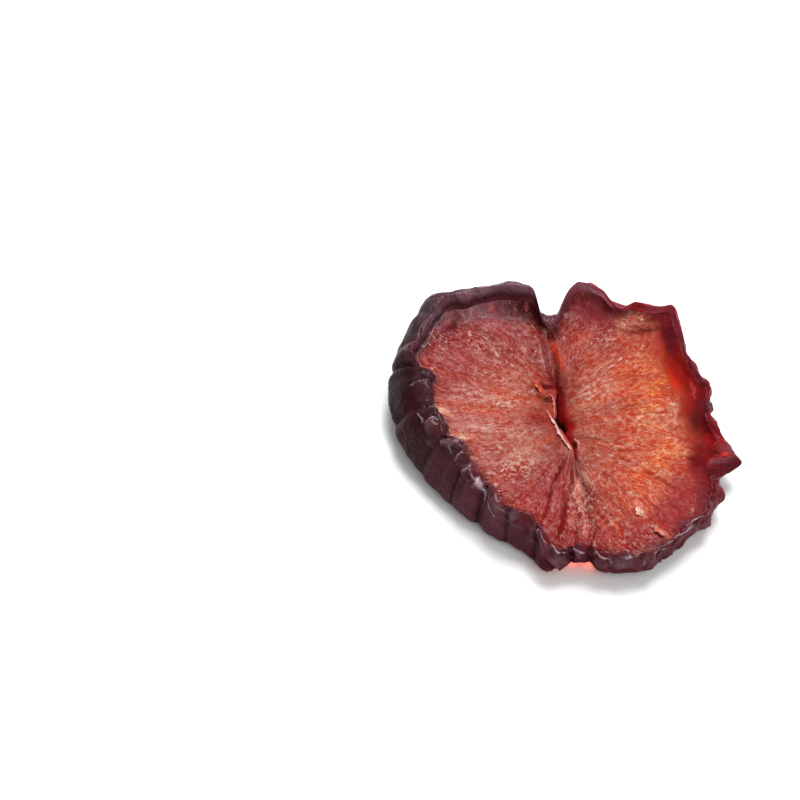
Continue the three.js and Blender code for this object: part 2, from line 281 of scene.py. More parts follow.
@dataclass(frozen=True)
class SliceForm:
    """The slice's form: the same stations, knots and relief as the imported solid's."""

    hub: tuple[float, float] = (-0.5, 1.1)
    slit_middle: tuple[float, float] = (0.6, 0.45)  # from the hub
    slit_heading: float = math.radians(101)
    slit_half_length: float = 5.4
    slit_half_width: float = 0.07
    slit_bow: float = 1  # of its middle to the left
    hole_half_width: float = 0.85
    hole_turn: float = math.radians(97)  # from the heading, on both lips
    hole_spread: float = math.radians(10)
    reach: Stations = (
        (4, 20.6), (11, 21), (14.5, 21.4), (18.5, 21), (25, 20.7), (33, 21), (40, 22.5),
        (45.5, 23.6), (50.6, 24.9), (53.8, 23.6), (57.5, 22.9), (62.5, 22.8), (65.5, 21.8), (70, 21.7),
        (74.5, 22.7), (83, 22.9), (87, 21.4), (91.5, 19.6), (94.5, 19.3), (98, 19.8),
        (100.5, 22.2), (104, 22.9), (114, 24.4), (125.5, 25.8), (132, 27.3), (140, 26.4),
        (148, 25.8), (159, 25.1), (168, 24.3), (174, 23.5), (182, 22.9), (188.5, 21.8),
        (203, 20.5), (215, 19.7), (231, 19.6), (243.5, 20.1), (254, 20.7), (259, 22.2),
        (263.5, 23.5), (269, 23.5), (273.5, 22.9), (278.5, 23.1), (281, 24.3), (288.5, 25.4),
        (296.5, 26.4), (301, 26), (306, 25.9), (314, 25.2), (320, 25.6), (325.5, 24.9),
        (329.5, 25), (332, 24.6), (337, 23.4), (341.5, 24.5), (345, 25.3), (347.5, 24.3),
        (351, 23.3), (357.5, 21.3))
    band: Stations = (
        (0, 1), (12, 0.8), (20, 1.1), (30, 0.9), (45, 1.2), (60, 0.8), (75, 0.8), (83, 1.2),
        (89, 2.3), (94, 2.9), (99, 2.5), (104, 2.7), (120, 3.1), (130, 3.9), (144, 3.8),
        (150, 4.1), (157, 3.4), (161, 4.4), (166, 6.6), (170, 6.1), (178, 5.8), (192, 5.4),
        (198, 4.9), (204, 5.7), (212, 4.8), (222, 3.9), (235, 3.1), (243, 2.1), (252, 2.4),
        (259, 3.1), (264, 2.3), (268, 0.9), (285, 0.6), (300, 0.6), (314, 0.6), (325, 0.8),
        (330, 1.4), (338, 2.2), (343, 3.8), (347, 3.5), (352, 1.6))
    crest_place: Stations = (
        (0, 0.4), (60, 0.35), (90, 0.5), (102, 0.65), (108, 0.72), (132, 0.72), (150, 0.75),
        (165, 0.85), (200, 0.85), (240, 0.8), (258, 0.75), (268, 0.5), (300, 0.45), (340, 0.6))
    crest_height: Stations = (
        (0, 5.2), (14, 5.6), (33, 6), (50, 6.8), (60, 6.7), (65, 6.2), (75, 7.1), (83, 8.1),
        (87, 7.5), (91.5, 5.4), (97.5, 5.6), (100.5, 8.9), (104, 9.2), (118, 9.5), (133, 9.4),
        (150, 9), (170, 9), (190, 8.7), (210, 8.2), (230, 7.6), (250, 6.9), (262, 5.8),
        (270, 5.2), (283, 5.2), (300, 5), (320, 4.7), (333, 4.6), (338, 3.4), (344, 4.6),
        (352, 4.6))
    edge_height: Stations = (
        (0, 4.8), (20, 5.2), (50, 6), (65, 5.6), (83, 7), (94, 4.9), (104, 7.3), (125, 7.3),
        (140, 7.7), (160, 7.8), (180, 7.9), (200, 7.6), (220, 7.2), (240, 6.5), (258, 5.8),
        (267, 4.6), (285, 4.6), (300, 4.5), (330, 4.2), (345, 4.3))
    waist_height: Stations = (
        (0, 4.4), (30, 4.8), (60, 4.6), (80, 4.5), (94, 3.8), (104, 6.2), (125, 6.2),
        (140, 6), (150, 5.2), (160, 4.2), (175, 3.3), (190, 2.6), (205, 2), (230, 1.5),
        (250, 1.2), (270, 1.9), (276, 2.2), (285, 1.9), (300, 2.2), (315, 2.7), (330, 3.1),
        (345, 3.5))
    hem_height: Stations = (
        (0, 3.3), (30, 3.5), (60, 3.2), (90, 2.4), (110, 2.6), (130, 2.2), (150, 1.6),
        (175, 1), (200, 0.7), (230, 0.5), (250, 0.5), (262, 0.6), (270, 1.1), (276, 1.5),
        (281, 1), (290, 0.8), (300, 1.2), (320, 1.8), (345, 2.7))
    hem_tuck: Stations = (
        (0, 0.7), (60, 0.9), (100, 2), (130, 2.2), (170, 2), (200, 1.4), (240, 1),
        (270, 0.6), (300, 0.6), (345, 0.8))
    foot_drop: Stations = (
        (0, 0.3), (50, 0.5), (70, 1.2), (83, 1.6), (94, 1.2), (105, 1.7), (125, 1.7), (140, 1),
        (160, 0.7), (200, 0.6), (240, 0.5), (270, 0.5), (300, 0.3), (340, 0.4))
    outer_flesh: Stations = (
        (0, 4.2), (30, 4.6), (60, 4.6), (75, 4.3), (95, 4.6), (115, 5.2), (140, 5.9), (170, 6.3),
        (200, 6.2), (225, 5.8), (250, 5), (270, 4), (290, 4.3), (315, 4.2), (340, 4))
    inner_flesh: Stations = (
        (0, 4.3), (40, 4.5), (80, 4.3), (95, 3.9), (110, 4.7), (150, 5.2), (190, 5.3),
        (230, 5), (260, 4.4), (275, 3.7), (290, 4.2), (320, 4.3))
    slit_brow: Stations = (
        (0, 3.9), (60, 4), (95, 3.6), (115, 4.5), (180, 4.7), (250, 4.5), (275, 3.7),
        (300, 3.8))
    slit_edge: Stations = (
        (0, 2.6), (60, 3), (90, 3.2), (108, 3.9), (140, 4.5), (200, 4.7), (250, 4.5),
        (278, 3.7), (296, 2.8), (320, 2.5))
    outer_underside: Stations = (
        (0, 2.1), (60, 2), (100, 1.4), (150, 0.9), (200, 0.5), (250, 0.35), (276, 0.9),
        (300, 0.6), (330, 1.3))
    inner_underside: Stations = (
        (0, 0.2), (60, 0.1), (120, -0.1), (200, -0.3), (270, -0.25), (330, 0))
    pressed_flesh: float = -0.15
    slit_underside: float = 0.9
    brow_width: float = 1.5
    foot_width: float = 1
    inner_share: float = 0.38
    outer_share: float = 0.74
    underside_shares: tuple[float, float, float] = (0.78, 0.42, 0.18)
    shoulder_out: float = 0.4
    shoulder_up: float = 0.7
    pleats: Sequence[tuple[float, float, float, float]] = (  # at, half width, depth, lean
        (9, 2, 0.35, 1), (28, 2.5, 0.35, 2), (66, 2.5, 0.5, 1), (112, 3, 0.3, 5),
        (124, 2.5, 0.25, -4), (141, 2.2, 0.4, -3), (151, 2.5, 0.45, 4), (163.5, 1.7, 1.1, -5),
        (175, 3, 0.3, 6), (184, 2, 0.65, -6), (196, 2.6, 0.75, 5), (204, 1.8, 0.35, 7),
        (212, 2.4, 0.8, 8), (219.5, 1.8, 0.45, 3), (227, 2.6, 0.85, 7), (237, 2, 0.4, -4),
        (243, 2.2, 0.7, 5), (252, 1.8, 0.45, -3), (257, 1.8, 0.8, 3), (265, 1.6, 0.5, 1),
        (272.6, 1.2, 0.7, 0), (279.4, 1.4, 1.3, 0), (284.3, 0.9, 0.4, 0), (293.6, 1.3, 0.6, 1),
        (299.6, 1.8, 0.5, -1), (309, 2.4, 0.45, -4), (317, 2, 0.5, 4), (326, 2, 0.35, -2),
        (336, 2, 0.6, -2), (353, 1.8, 0.35, 0))
    puckers: Sequence[tuple[int, float, float, float]] = (  # waves, height, start, twist
        (13, 0.12, 1.3, 2), (23, 0.10, 4.1, -3), (37, 0.06, 0.7, 4))
    creases: Sequence[tuple[float, float, float, float]] = (  # heading, veer, half width, depth
        (95, 1, 5, 0.9), (287, -13, 7, 0.9))
    hollows: Sequence[tuple[float, float, float, float, float, float]] = (
        # x, y, heading, half length, half width, height
        (4.8, 19.6, 30, 3.4, 2.4, -0.8), (-1.4, 8.6, 105, 3, 0.9, -0.7),
        (-0.9, 13.6, 104, 3.4, 0.7, 0.45), (9.6, 18.8, 8, 3.2, 0.9, 0.35),
        (10.6, 17, 4, 2.6, 0.8, -0.5), (-3, 4.9, 165, 1.5, 0.6, -0.45),
        (-2.4, 7.3, 15, 1.3, 0.7, -0.45), (-3.5, 6.9, 115, 1.5, 0.45, 0.35),
        (-6, 19.4, 172, 7, 1.2, -0.5))
    pleated: Sequence[float] = (0, 0, 0, 0, 0.1, 0.55, 1, 0.85, 0.4, 0.25, 0, 0, 0, 0)
    creased: Sequence[float] = (0, 0.5, 1, 1, 0.6, 0, 0, 0, 0, 0, 0, 0, 0, 0)

    def around_section(self, values: Sequence[float] | Array) -> SmoothLoop:
        """Return a measure round the cross-section, one value or row for each knot."""
        values = np.array(values, dtype=float)
        return SmoothLoop(np.arange(len(values), dtype=float), values, len(values))

    def rays(self, angle: Array) -> tuple[Array, Array, Array]:
        """Find where each cross-section starts, which way it runs and how far.

        The slit's edge in plan is a slim bowed ellipse turned to its heading, wider at the
        hole, and the outline is the reach at the angle. The ray joins the two.

        Args:
            angle: Angles about the hub, in radians.

        Returns:
            Start and unit direction in plan, two columns each, and the length.
        """
        turned = angle - self.slit_heading
        from_hole = (np.abs(degrees_between(np.degrees(turned), 0))
                     - math.degrees(self.hole_turn))
        hole = self.hole_half_width * bell(from_hole, math.degrees(self.hole_spread))
        x = self.slit_half_length * np.cos(turned)
        y = (self.slit_half_width + hole + self.slit_bow * np.sin(turned)) * np.sin(turned)
        c, s = math.cos(self.slit_heading), math.sin(self.slit_heading)
        slit = np.stack([x * c - y * s, x * s + y * c], axis=-1) + np.array(self.slit_middle)
        rim = ring(self.reach)(angle)[:, None] * np.stack([np.cos(angle), np.sin(angle)], -1)
        span = rim - slit
        length = np.linalg.norm(span, axis=-1)
        return slit + np.array(self.hub), span / length[:, None], length

    def section(self, angle: Array, length: Array) -> SmoothLoop:
        """Build the cross-section at each angle.

        Args:
            angle: Angles about the hub, in radians.
            length: Length of the ray at each angle.

        Returns:
            A loop over the knots whose value has the distance out and the height, for
            each angle: an array of two columns.
        """
        one = np.ones_like(angle)
        band = ring(self.band)(angle)
        crest_in = band * ring(self.crest_place)(angle)
        waist, crest = ring(self.waist_height)(angle), ring(self.crest_height)(angle)
        edge, face = ring(self.edge_height)(angle), length - band
        outer, inner, pressed = self.underside_shares
        knots = [
            (0 * one, ring(self.slit_edge)(angle)),
            (self.brow_width * one, ring(self.slit_brow)(angle)),
            (self.inner_share * face, ring(self.inner_flesh)(angle)),
            (self.outer_share * face, ring(self.outer_flesh)(angle)),
            (face - self.foot_width, edge - ring(self.foot_drop)(angle)),
            (face, edge),
            (length - crest_in, crest),
            (length - self.shoulder_out * crest_in, waist + self.shoulder_up * (crest - waist)),
            (length, waist),
            (length - ring(self.hem_tuck)(angle), ring(self.hem_height)(angle)),
            (outer * length, ring(self.outer_underside)(angle)),
            (inner * length, ring(self.inner_underside)(angle)),
            (pressed * length, self.pressed_flesh * one),
            (0 * one, self.slit_underside * one),
        ]
        return self.around_section(np.array(knots).transpose(0, 2, 1))

    def relief(self, angle: Array, place: Array, share: Array,
               plan: Array) -> Array:
        """Work out the main pleats, puckers, creases and hollows.

        A pleat or a crease is a bell-shaped groove across its line; puckers are sine waves
        round the slice that twist on their way down the skin; a hollow is a long bell in
        plan.

        Args:
            angle: Angles in radians, one column each.
            place: Places round the section in knots, one row each.
            share: Share of the way out along the ray, for each row and column.
            plan: Place in plan of each row and column, last axis x and y.

        Returns:
            How far the surface stands out, in millimetres.
        """
        degrees = np.degrees(angle)[None, :]
        down = down_wall(place)
        skin = np.zeros_like(share)
        for at, half_width, depth, lean in self.pleats:
            skin -= depth * bell(degrees_between(degrees, at + lean * down), half_width)
        for waves, height, start, twist in self.puckers:
            skin += height * np.sin(waves * angle[None, :] + start + twist * down)
        face = np.zeros_like(share)
        for x, y, heading, half_length, half_width, height in self.hollows:
            face += height * stroke(plan, x, y, heading, half_length, half_width)
        for heading, veer, half_width, depth in self.creases:
            offset = degrees_between(degrees, heading + veer * share)
            face -= depth * bell(offset, half_width)
        pleated = self.around_section(self.pleated)(place)
        creased = self.around_section(self.creased)(place)
        return skin * pleated[:, None] + face * creased[:, None]


@dataclass
class SurfacePatch:
    """Points of the surface on one grid: rows round the section, columns round the slice."""

    form: SliceForm
    angle: Array  # one for each column
    place: Array  # one for each row
    out: Array
    up: Array
    share: Array
    across: Array  # outward normal in the section: out and up parts
    length: Array
    start: Array
    ray: Array

    @property
    def degrees(self) -> Array:
        """Return the angle of each column in degrees, as one row."""
        return np.degrees(self.angle)[None, :]

    @property
    def face(self) -> Array:
        """Return the way out to the skin's edge for each column."""
        return self.length - ring(self.form.band)(self.angle)

    def plan(self, height: float | Array = 0.0) -> Array:
        """Return the place in plan of each point, x and y."""
        out = self.out + height * self.across[..., 0]
        return self.start[None] + self.ray[None] * out[..., None]

    def points(self, height: Array) -> Array:
        """Place the grid in space with a relief, nowhere below the table."""
        up = np.maximum(self.up + height * self.across[..., 1], 0)
        return np.concatenate([self.plan(height), up[..., None]], axis=-1)


NORMAL_STEP = 0.05  # in knots, to each side of a row


def patch_of(form: SliceForm, place: Array, columns: int) -> SurfacePatch:
    """Lay one grid of the form.

    Args:
        form: The slice's form.
        place: Places round the section, in knots.
        columns: Number of angles round the slice.

    Returns:
        The grid, still without relief.
    """
    angle = np.arange(columns) * (TURN / columns)
    start, ray, length = form.rays(angle)
    section = form.section(angle, length)
    out, up = np.moveaxis(section(place), -1, 0)
    along = section(place + NORMAL_STEP) - section(place - NORMAL_STEP)
    along /= np.linalg.norm(along, axis=-1, keepdims=True)
    across = np.stack([-along[..., 1], along[..., 0]], axis=-1)
    return SurfacePatch(form, angle, place, out, up, out / length, across, length, start, ray)


# ---- Fine relief ----


def rim_space(patch: SurfacePatch) -> tuple[Array, Array]:
    """Unroll the skin into a closed band, for patterns that run round it or down it.

    The first two coordinates go round a circle as long as the rim, and `down` is the way
    from the skin's edge over the crest and down the wall: what the section gains outward
    plus what it has fallen from the crest.

    Args:
        patch: The grid.

    Returns:
        Points of the band in millimetres, and `down` alone.
    """
    down = patch.out - patch.face + ring(patch.form.crest_height)(patch.angle) - patch.up
    turn = np.broadcast_to(patch.angle, patch.out.shape)
    return np.stack([RIM_RADIUS * np.cos(turn), RIM_RADIUS * np.sin(turn), down], -1), down


CREST_ENDS, CREST_SIDES = 4, 1.5  # how steeply a crest falls along it and across it


@dataclass(frozen=True)
class Fold:
    """One fold of the skin, placed on the unrolled band: a puffed lump or a thin crest."""

    at: float  # degrees round the slice
    down: float
    heading: float  # 0 runs round the rim, 90 runs down the wall
    half_length: float
    half_width: float
    height: float

    def offsets(self, degrees: Array, down: Array) -> tuple[Array, Array]:
        """Measure from the fold's middle.

        Args:
            degrees: Angles round the slice.
            down: Ways down from the skin's edge.

        Returns:
            The way along the fold and across it, in half lengths and half widths.
        """
        turn = math.radians(self.heading)
        round_rim = degrees_between(degrees, self.at) * RIM_MM_PER_DEGREE
        fallen = down - self.down
        along = (round_rim * math.cos(turn) + fallen * math.sin(turn)) / self.half_length
        across = (fallen * math.cos(turn) - round_rim * math.sin(turn)) / self.half_width
        return along, across

    def lump(self, degrees: Array, down: Array) -> Array:
        """Return the height as a dome that meets its neighbours in a sharp valley."""
        along, across = self.offsets(degrees, down)
        return self.height * np.clip(1 - along ** 2 - across ** 2, 0, 1)

    def crest(self, degrees: Array, down: Array) -> Array:
        """Return the height as a thin ridge that fades out at both ends."""
        along, across = self.offsets(degrees, down)
        return self.height * np.exp(-along ** CREST_ENDS - np.abs(across) ** CREST_SIDES)

    def spot(self, degrees: Array, down: Array) -> Array:
        """Return the height as a soft bell both ways, for a share of colour."""
        along, across = self.offsets(degrees, down)
        return self.height * np.exp(-along ** 2 - across ** 2)


# Each row: degrees, way down, heading, half length, half width, height.
LUMPS = tuple(Fold(*row) for row in (
    (191.5, 2.8, 60, 1.9, 1.5, 0.5), (203, 2.5, 60, 1.7, 1.2, 0.5), (197.8, 4.6, 40, 1.4, 1, 0.35),
    (210.5, 1.8, 60, 1.2, 0.9, 0.4), (217, 2.6, 70, 1.2, 0.8, 0.35), (221, 1.2, 20, 1.3, 0.8, 0.4),
    (229, 2.4, 10, 1.9, 1, 0.5), (240, 1.3, 20, 2.2, 1.3, 0.5), (249.8, 2.6, 60, 2.2, 1.4, 0.45),
    (257.5, 3.2, 80, 2.2, 1.2, 0.4), (266.5, 2.6, 20, 2.5, 1.9, 0.55), (275.2, 1.7, 60, 1.5, 1.1, 0.5),
    (281.6, 2, 70, 2, 1.1, 0.5), (288.8, 1.8, 0, 2.3, 1.5, 0.45), (296.4, 1.8, 80, 1.9, 1.3, 0.5),
    (304.5, 1.6, 0, 2.4, 1.2, 0.35), (313, 1.7, 10, 2.1, 1.3, 0.4), (322.5, 1.8, -20, 2.2, 1.3, 0.4),
    (330.5, 1.9, 20, 1.9, 1.4, 0.4), (6, 0.8, 30, 1.2, 0.9, 0.55), (28, 1.2, 10, 2, 1, 0.25),
    (17, 1, 80, 1.4, 0.9, 0.25),
))
CRESTS = tuple(Fold(*row) for row in (
    (186.8, 3.8, 10, 1.3, 0.13, 0.26), (189.5, 2.4, 75, 1.3, 0.12, 0.22),
    (196, 1.2, 15, 1, 0.12, 0.2), (201, 2.3, 100, 0.9, 0.13, 0.22),
    (205.5, 3.2, 30, 0.9, 0.12, 0.2), (211.5, 2.6, 80, 0.8, 0.13, 0.2),
    (219, 1.9, 115, 1.3, 0.16, 0.26), (222.5, 1.6, 25, 1.2, 0.24, 0.26),
    (228.6, 1.9, 5, 1.5, 0.65, 0.3), (233, 2.9, 80, 1.3, 0.13, 0.24), (238.5, 3.6, 5, 1.8, 0.13, 0.24),
    (243.5, 1.9, 30, 0.9, 0.13, 0.2), (250, 1.6, 20, 0.7, 0.12, 0.2), (262, 1.2, 10, 1, 0.12, 0.2),
    (268, 0.8, 5, 1.3, 0.13, 0.22), (275, 0.8, 5, 1, 0.22, 0.24), (281.5, 0.8, 30, 1.6, 0.14, 0.26),
    (284.6, 1.5, 90, 0.9, 0.12, 0.22), (291, 0.6, 0, 1.5, 0.2, 0.24), (294.4, 1.6, 92, 1.4, 0.14, 0.18),
    (299.5, 0.8, 20, 1.2, 0.13, 0.2), (306, 0.6, 0, 3.2, 0.14, 0.24), (318, 0.7, 5, 2.2, 0.13, 0.2),
    (151, 1.4, 0, 3.4, 0.14, 0.16), (171, 2.6, 80, 2, 0.14, 0.2),
))


@dataclass(frozen=True)
class SkinWrinkles:
    """The shrivelled skin: soft lumps, creased facets over them and fine crinkles on top."""

    bends: tuple[Noise, ...] = (Noise(11, 4.5), Noise(12, 4.5), Noise(13, 4.5))
    bend: float = 2
    lump: Noise = Noise(20, 3.4)
    lump_sink: float = 0.35
    lump_height: float = 0.45
    fold: Noise = Noise(21, (2.2, 2.2, 5.5))  # long down the wall
    fold_height: float = 0.42
    facet: Noise = Noise(22, (2.6, 2.6, 3.2))
    facet_crest: float = 0.16
    facet_border: float = 0.16
    facet_tilt: float = 0.32
    crinkle: Noise = Noise(23, 0.85)
    crinkle_bend: float = 0.6
    crinkle_height: float = 0.09
    ridge_sink: float = 0.3
    puffed: Noise = Noise(24, 5)  # where folds and crinkles are strong
    puffed_step: Step = Step(-0.25, 0.35)
    puffed_least: float = 0.3
    weaker_down: Step = Step(1.5, 5)
    shift_down: Noise = Noise(26, 1.3)  # moves the placed folds
    lump_shift: float = 0.55
    crest_shift: float = 0.3
    shift_round: Noise = Noise(27, 1.3)
    lump_turn: float = 1.6  # degrees
    roll_middle: float = Knot.SKIN_EDGE + 0.5
    roll_half: float = 0.32
    from_edge: Step = Step(Knot.SKIN_EDGE - 0.05, Knot.SKIN_EDGE + 0.5)
    to_hem: Step = Step(Knot.HEM + 0.1, Knot.HEM - 0.9)
    folded_height: Step = Step(0.08, 0.2)
    folded_grain: Noise = Noise(28, 1.1)
    folded_step: Step = Step(-0.5, 0)
    lip_run: Noise = Noise(25, 2.6)
    lip_mean: float = 0.65
    lip_change: float = 0.5
    lip_half: float = 0.11
    buried: float = -0.3  # of its first rows, under the flesh
    buried_step: Step = Step(Knot.SKIN_EDGE - 0.12, Knot.SKIN_EDGE - 0.2)
    bottom_share: Stations = (  # of the relief that is left low on the wall
        (0, 0.7), (100, 0.5), (160, 0.3), (215, 0.25), (250, 0.4), (268, 0.9), (310, 0.9))
    strength: Stations = (
        (0, 0.3), (20, 0.25), (60, 0.35), (90, 0.8), (104, 0.4), (135, 0.5), (155, 0.45), (166, 0.55),
        (190, 0.6), (215, 0.8), (250, 0.85), (268, 1.05), (300, 1.05), (325, 0.8), (340, 0.35))
    roll_height: Stations = (
        (0, 0), (88, 0), (98, 0.1), (106, 0.32), (138, 0.36), (150, 0.2), (163, 0), (260, 0))
    lumps: tuple[Fold, ...] = LUMPS
    crests: tuple[Fold, ...] = CRESTS
    lip_height: Stations = (
        (0, 0.05), (60, 0.05), (95, 0.02), (122, 0), (132, 0.45), (160, 0.5), (168, 0.15),
        (200, 0.2), (255, 0.25), (300, 0.3), (330, 0.15), (350, 0.05))

    def heights(self, patch: SurfacePatch) -> Array:
        """Work out the wrinkles.

        Lumps are the size of a noise, so that they meet in sharp valleys; folds are ridged
        noise drawn out down the wall; facets are cells, each tilted its own way with a
        crest along its borders; all are bent by a slower noise and weaker low on the wall.

        Args:
            patch: The grid.

        Returns:
            Height in millimetres for each point.
        """
        band, down = rim_space(patch)
        bend = wander(self.bends, band) * self.bend
        bent = band + bend
        lumps = np.abs(self.lump(bent)) - self.lump_sink
        folds = self.fold.ridges(bent) - self.ridge_sink
        border, tilt = self.facet.facets(bent)
        facets = self.facet_crest * bell(border, self.facet_border) + self.facet_tilt * tilt
        crinkle = self.crinkle.ridges(band + self.crinkle_bend * bend) - self.ridge_sink
        patches = partly(self.puffed_least, self.puffed_step(self.puffed(band)))
        relief = self.lump_height * lumps + patches * self.fold_height * folds + facets
        relief += self.crinkle_height * crinkle * patches
        low = 1 - (1 - ring(self.bottom_share)(patch.angle)) * self.weaker_down(down)
        relief *= low * ring(self.strength)(patch.angle)
        drift = self.shift_down(band)
        moved = down + self.lump_shift * drift
        shifted = patch.degrees + self.lump_turn * self.shift_round(band)
        relief += np.maximum.reduce([fold.lump(shifted, moved) for fold in self.lumps])
        moved = down + self.crest_shift * drift
        for fold in self.crests:
            relief += fold.crest(patch.degrees, moved)
        tube = ring(self.roll_height)(patch.angle)
        relief += tube * bell(patch.place - self.roll_middle, self.roll_half)[:, None]
        return relief * (self.from_edge(patch.place) * self.to_hem(patch.place))[:, None]

    def highlit_crests(self, patch: SurfacePatch) -> Array:
        """Work out where the placed crests are sharp.

        Args:
            patch: The grid.

        Returns:
            The share of each point that lies on a sharp crest, from 0 to 1, where the finish paints a
            highlight.
        """
        band, down = rim_space(patch)
        moved = down + self.crest_shift * self.shift_down(band)
        height = np.maximum.reduce([fold.crest(patch.degrees, moved) for fold in self.crests])
        return self.folded_height(height) * self.folded_step(self.folded_grain(band))

    def lip(self, patch: SurfacePatch) -> Array:
        """Work out the skin's dried edge: it dips under the flesh and stands up beside it.

        Args:
            patch: The grid.

        Returns:
            Height in millimetres for each point.
        """
        band, _ = rim_space(patch)
        run = self.lip_mean + self.lip_change * self.lip_run(band)
        rise = ring(self.lip_height)(patch.angle) * run
        buried = self.buried * self.buried_step(patch.place)
        edge = bell(patch.place - Knot.SKIN_EDGE, self.lip_half)
        return rise * edge[:, None] + buried[:, None]


@dataclass(frozen=True)
class Mark:
    """A soft patch on the cut face, round or long, with its own colour and height."""

    x: float
    y: float
    heading: float
    half_length: float
    half_width: float
    colour: str
    strength: float
    height: float = 0

    def share(self, plan: Array) -> Array:
        """Return how much of the mark each place takes, from 0 to 1."""
        return stroke(plan, self.x, self.y, self.heading, self.half_length, self.half_width)


def marks_from(*rows: tuple[float | str, ...]) -> tuple[Mark, ...]:
    """Return marks from rows: x, y, heading, half sizes, colour, strength and height."""
    return tuple(Mark(*row) for row in rows)


SMALL_MARKS = marks_from(
    (-1, 13.4, 104, 3.2, 0.45, "#d03410", 0.95, 0.1), (-1.4, 8.6, 105, 2.6, 0.8, "#8c1a10", 0.85),
    # painted shade: the dark red mark at (-0.6, 4.4) darkens the groove beside the high strip
    (-2.6, 7.8, 100, 2.2, 1.2, "#a0241a", 0.7), (-0.6, 4.4, 93, 4.4, 0.7, "#6a0e14", 0.8),
    # painted shade: the near-black mark at (-0.7, 0.9) darkens the stone's hole
    (-0.7, 0.9, 101, 0.9, 0.85, "#170607", 0.9), (18.7, 1.7, -10, 1.3, 1.1, "#5a0e16", 0.85),
    (19.2, 0.2, 100, 1.5, 0.7, "#480a12", 0.75), (14.5, 15.6, 98, 3.8, 0.95, "#581422", 0.75),
    (16.4, 10, 116, 2.2, 0.3, "#5c0a14", 0.6), (17.5, 6.6, 100, 1.6, 0.25, "#c0504a", 0.5),
    (-10, 20, 90, 0.55, 0.35, "#d8747a", 0.95, 0.5),
    (-9.4, 18.7, 110, 1.3, 0.25, "#b05058", 0.7, 0.2), (-5.2, 20.3, 80, 0.45, 0.35, "#b85a5e", 0.9, 0.4),
    (-6.8, 19.6, 95, 1.2, 0.2, "#b0646a", 0.7, 0.2), (18.6, 4.6, 60, 1.6, 0.8, "#6a1420", 0.7),
    (17.6, -5.4, 80, 1.2, 1.2, "#5c1018", 0.6), (-2.9, 5, 165, 1.4, 0.5, "#6a1418", 0.8, -0.1),
    # painted shade: the near-black line at (-2.9, 7.4) darkens a crack by the torn flap
    (-2.4, 7.3, 15, 1.2, 0.6, "#5c0e12", 0.85), (-2.9, 7.4, 118, 0.9, 0.1, "#2a0608", 0.9, -0.15),
    (-3.6, 7, 116, 1.4, 0.5, "#e05a2a", 0.9, 0.14), (-3.9, 5.3, 175, 1.2, 0.35, "#c4431c", 0.7),
    # painted shade: the dark mark at (1.1, -2.5) darkens a small pit
    (-2.5, -2.2, 35, 1.3, 0.22, "#d0502a", 0.8, 0.1), (1.1, -2.5, 120, 0.65, 0.4, "#4a0606", 0.95, -0.5),
    (10, -14.6, -62, 1, 0.28, "#eec6b4", 0.9, 0.12),
    (12.9, -18.2, -45, 1.7, 0.42, "#eab09c", 0.85, 0.2),
    (6.7, -17.4, -55, 1.3, 0.25, "#e88a62", 0.8, 0.1), (7.7, 12.1, 35, 0.45, 0.14, "#f6dcd0", 0.9, 0.1),
    (6.5, 10.8, 40, 0.5, 0.16, "#f6d8cc", 0.9, 0.1), (13.8, 4.6, -20, 1.3, 0.55, "#e08a70", 0.7, 0.08),
    (12.6, 3, 10, 2.4, 0.25, "#9a2a18", 0.6, -0.1), (-9.6, 13, -58, 1, 0.18, "#e6b4a6", 0.8, 0.08),
    (-5.4, 13.6, -70, 1.2, 0.22, "#e6b0a0", 0.7, 0.08), (-16.8, 0.6, -20, 1.7, 0.6, "#ecb49c", 0.8, 0.1),
    (-13.7, -3.4, 20, 1.7, 0.6, "#ecb098", 0.8, 0.1), (-11.6, -1.4, 5, 1.6, 0.3, "#e4a698", 0.6, 0.06),
    (-12.4, -7.6, -10, 1.5, 0.3, "#e0a094", 0.6, 0.06), (9.4, 19.2, 10, 2.6, 0.9, "#c26a52", 0.6),
    (11, 17.2, 4, 2.4, 0.4, "#7a2416", 0.8), (3, 17, 60, 2.6, 1, "#b44a30", 0.6, 0.15),
    (12.8, -9, -35, 3.4, 0.3, "#8c1c18", 0.6, -0.15), (7, -14, -50, 4.2, 0.3, "#8c1c1a", 0.6, -0.2),
    (4.4, -12.6, -62, 4.5, 0.28, "#861a1c", 0.6, -0.2), (-0.9, -7.5, 70, 3, 0.3, "#6a0c14", 0.85, -0.3),
    (-2.7, -13.8, 77, 4.4, 0.28, "#7c1016", 0.8, -0.25), (0.8, -7.6, 92, 2.8, 0.26, "#8a1016", 0.8, -0.3),
    (-0.5, -15, 80, 4.8, 0.45, "#7c1016", 0.75, -0.25),
    (-1.7, -12.4, 76, 3.6, 0.3, "#c46a70", 0.6, 0.15), (0.5, -12, 86, 4, 0.35, "#b85058", 0.5, 0.12),
    (-3.4, -9.2, 62, 3, 0.22, "#74161e", 0.6, -0.15),
    (2.6, -9.4, 112, 3.4, 0.24, "#8c1418", 0.6, -0.15), (-2.5, 12.6, 101, 3.6, 0.5, "#6a1c24", 0.6, -0.1),
    (-3.9, 12.2, 108, 3, 0.3, "#74222a", 0.5, -0.1), (-3.2, 13.4, 104, 2.6, 0.22, "#d09a98", 0.5, 0.1),
)


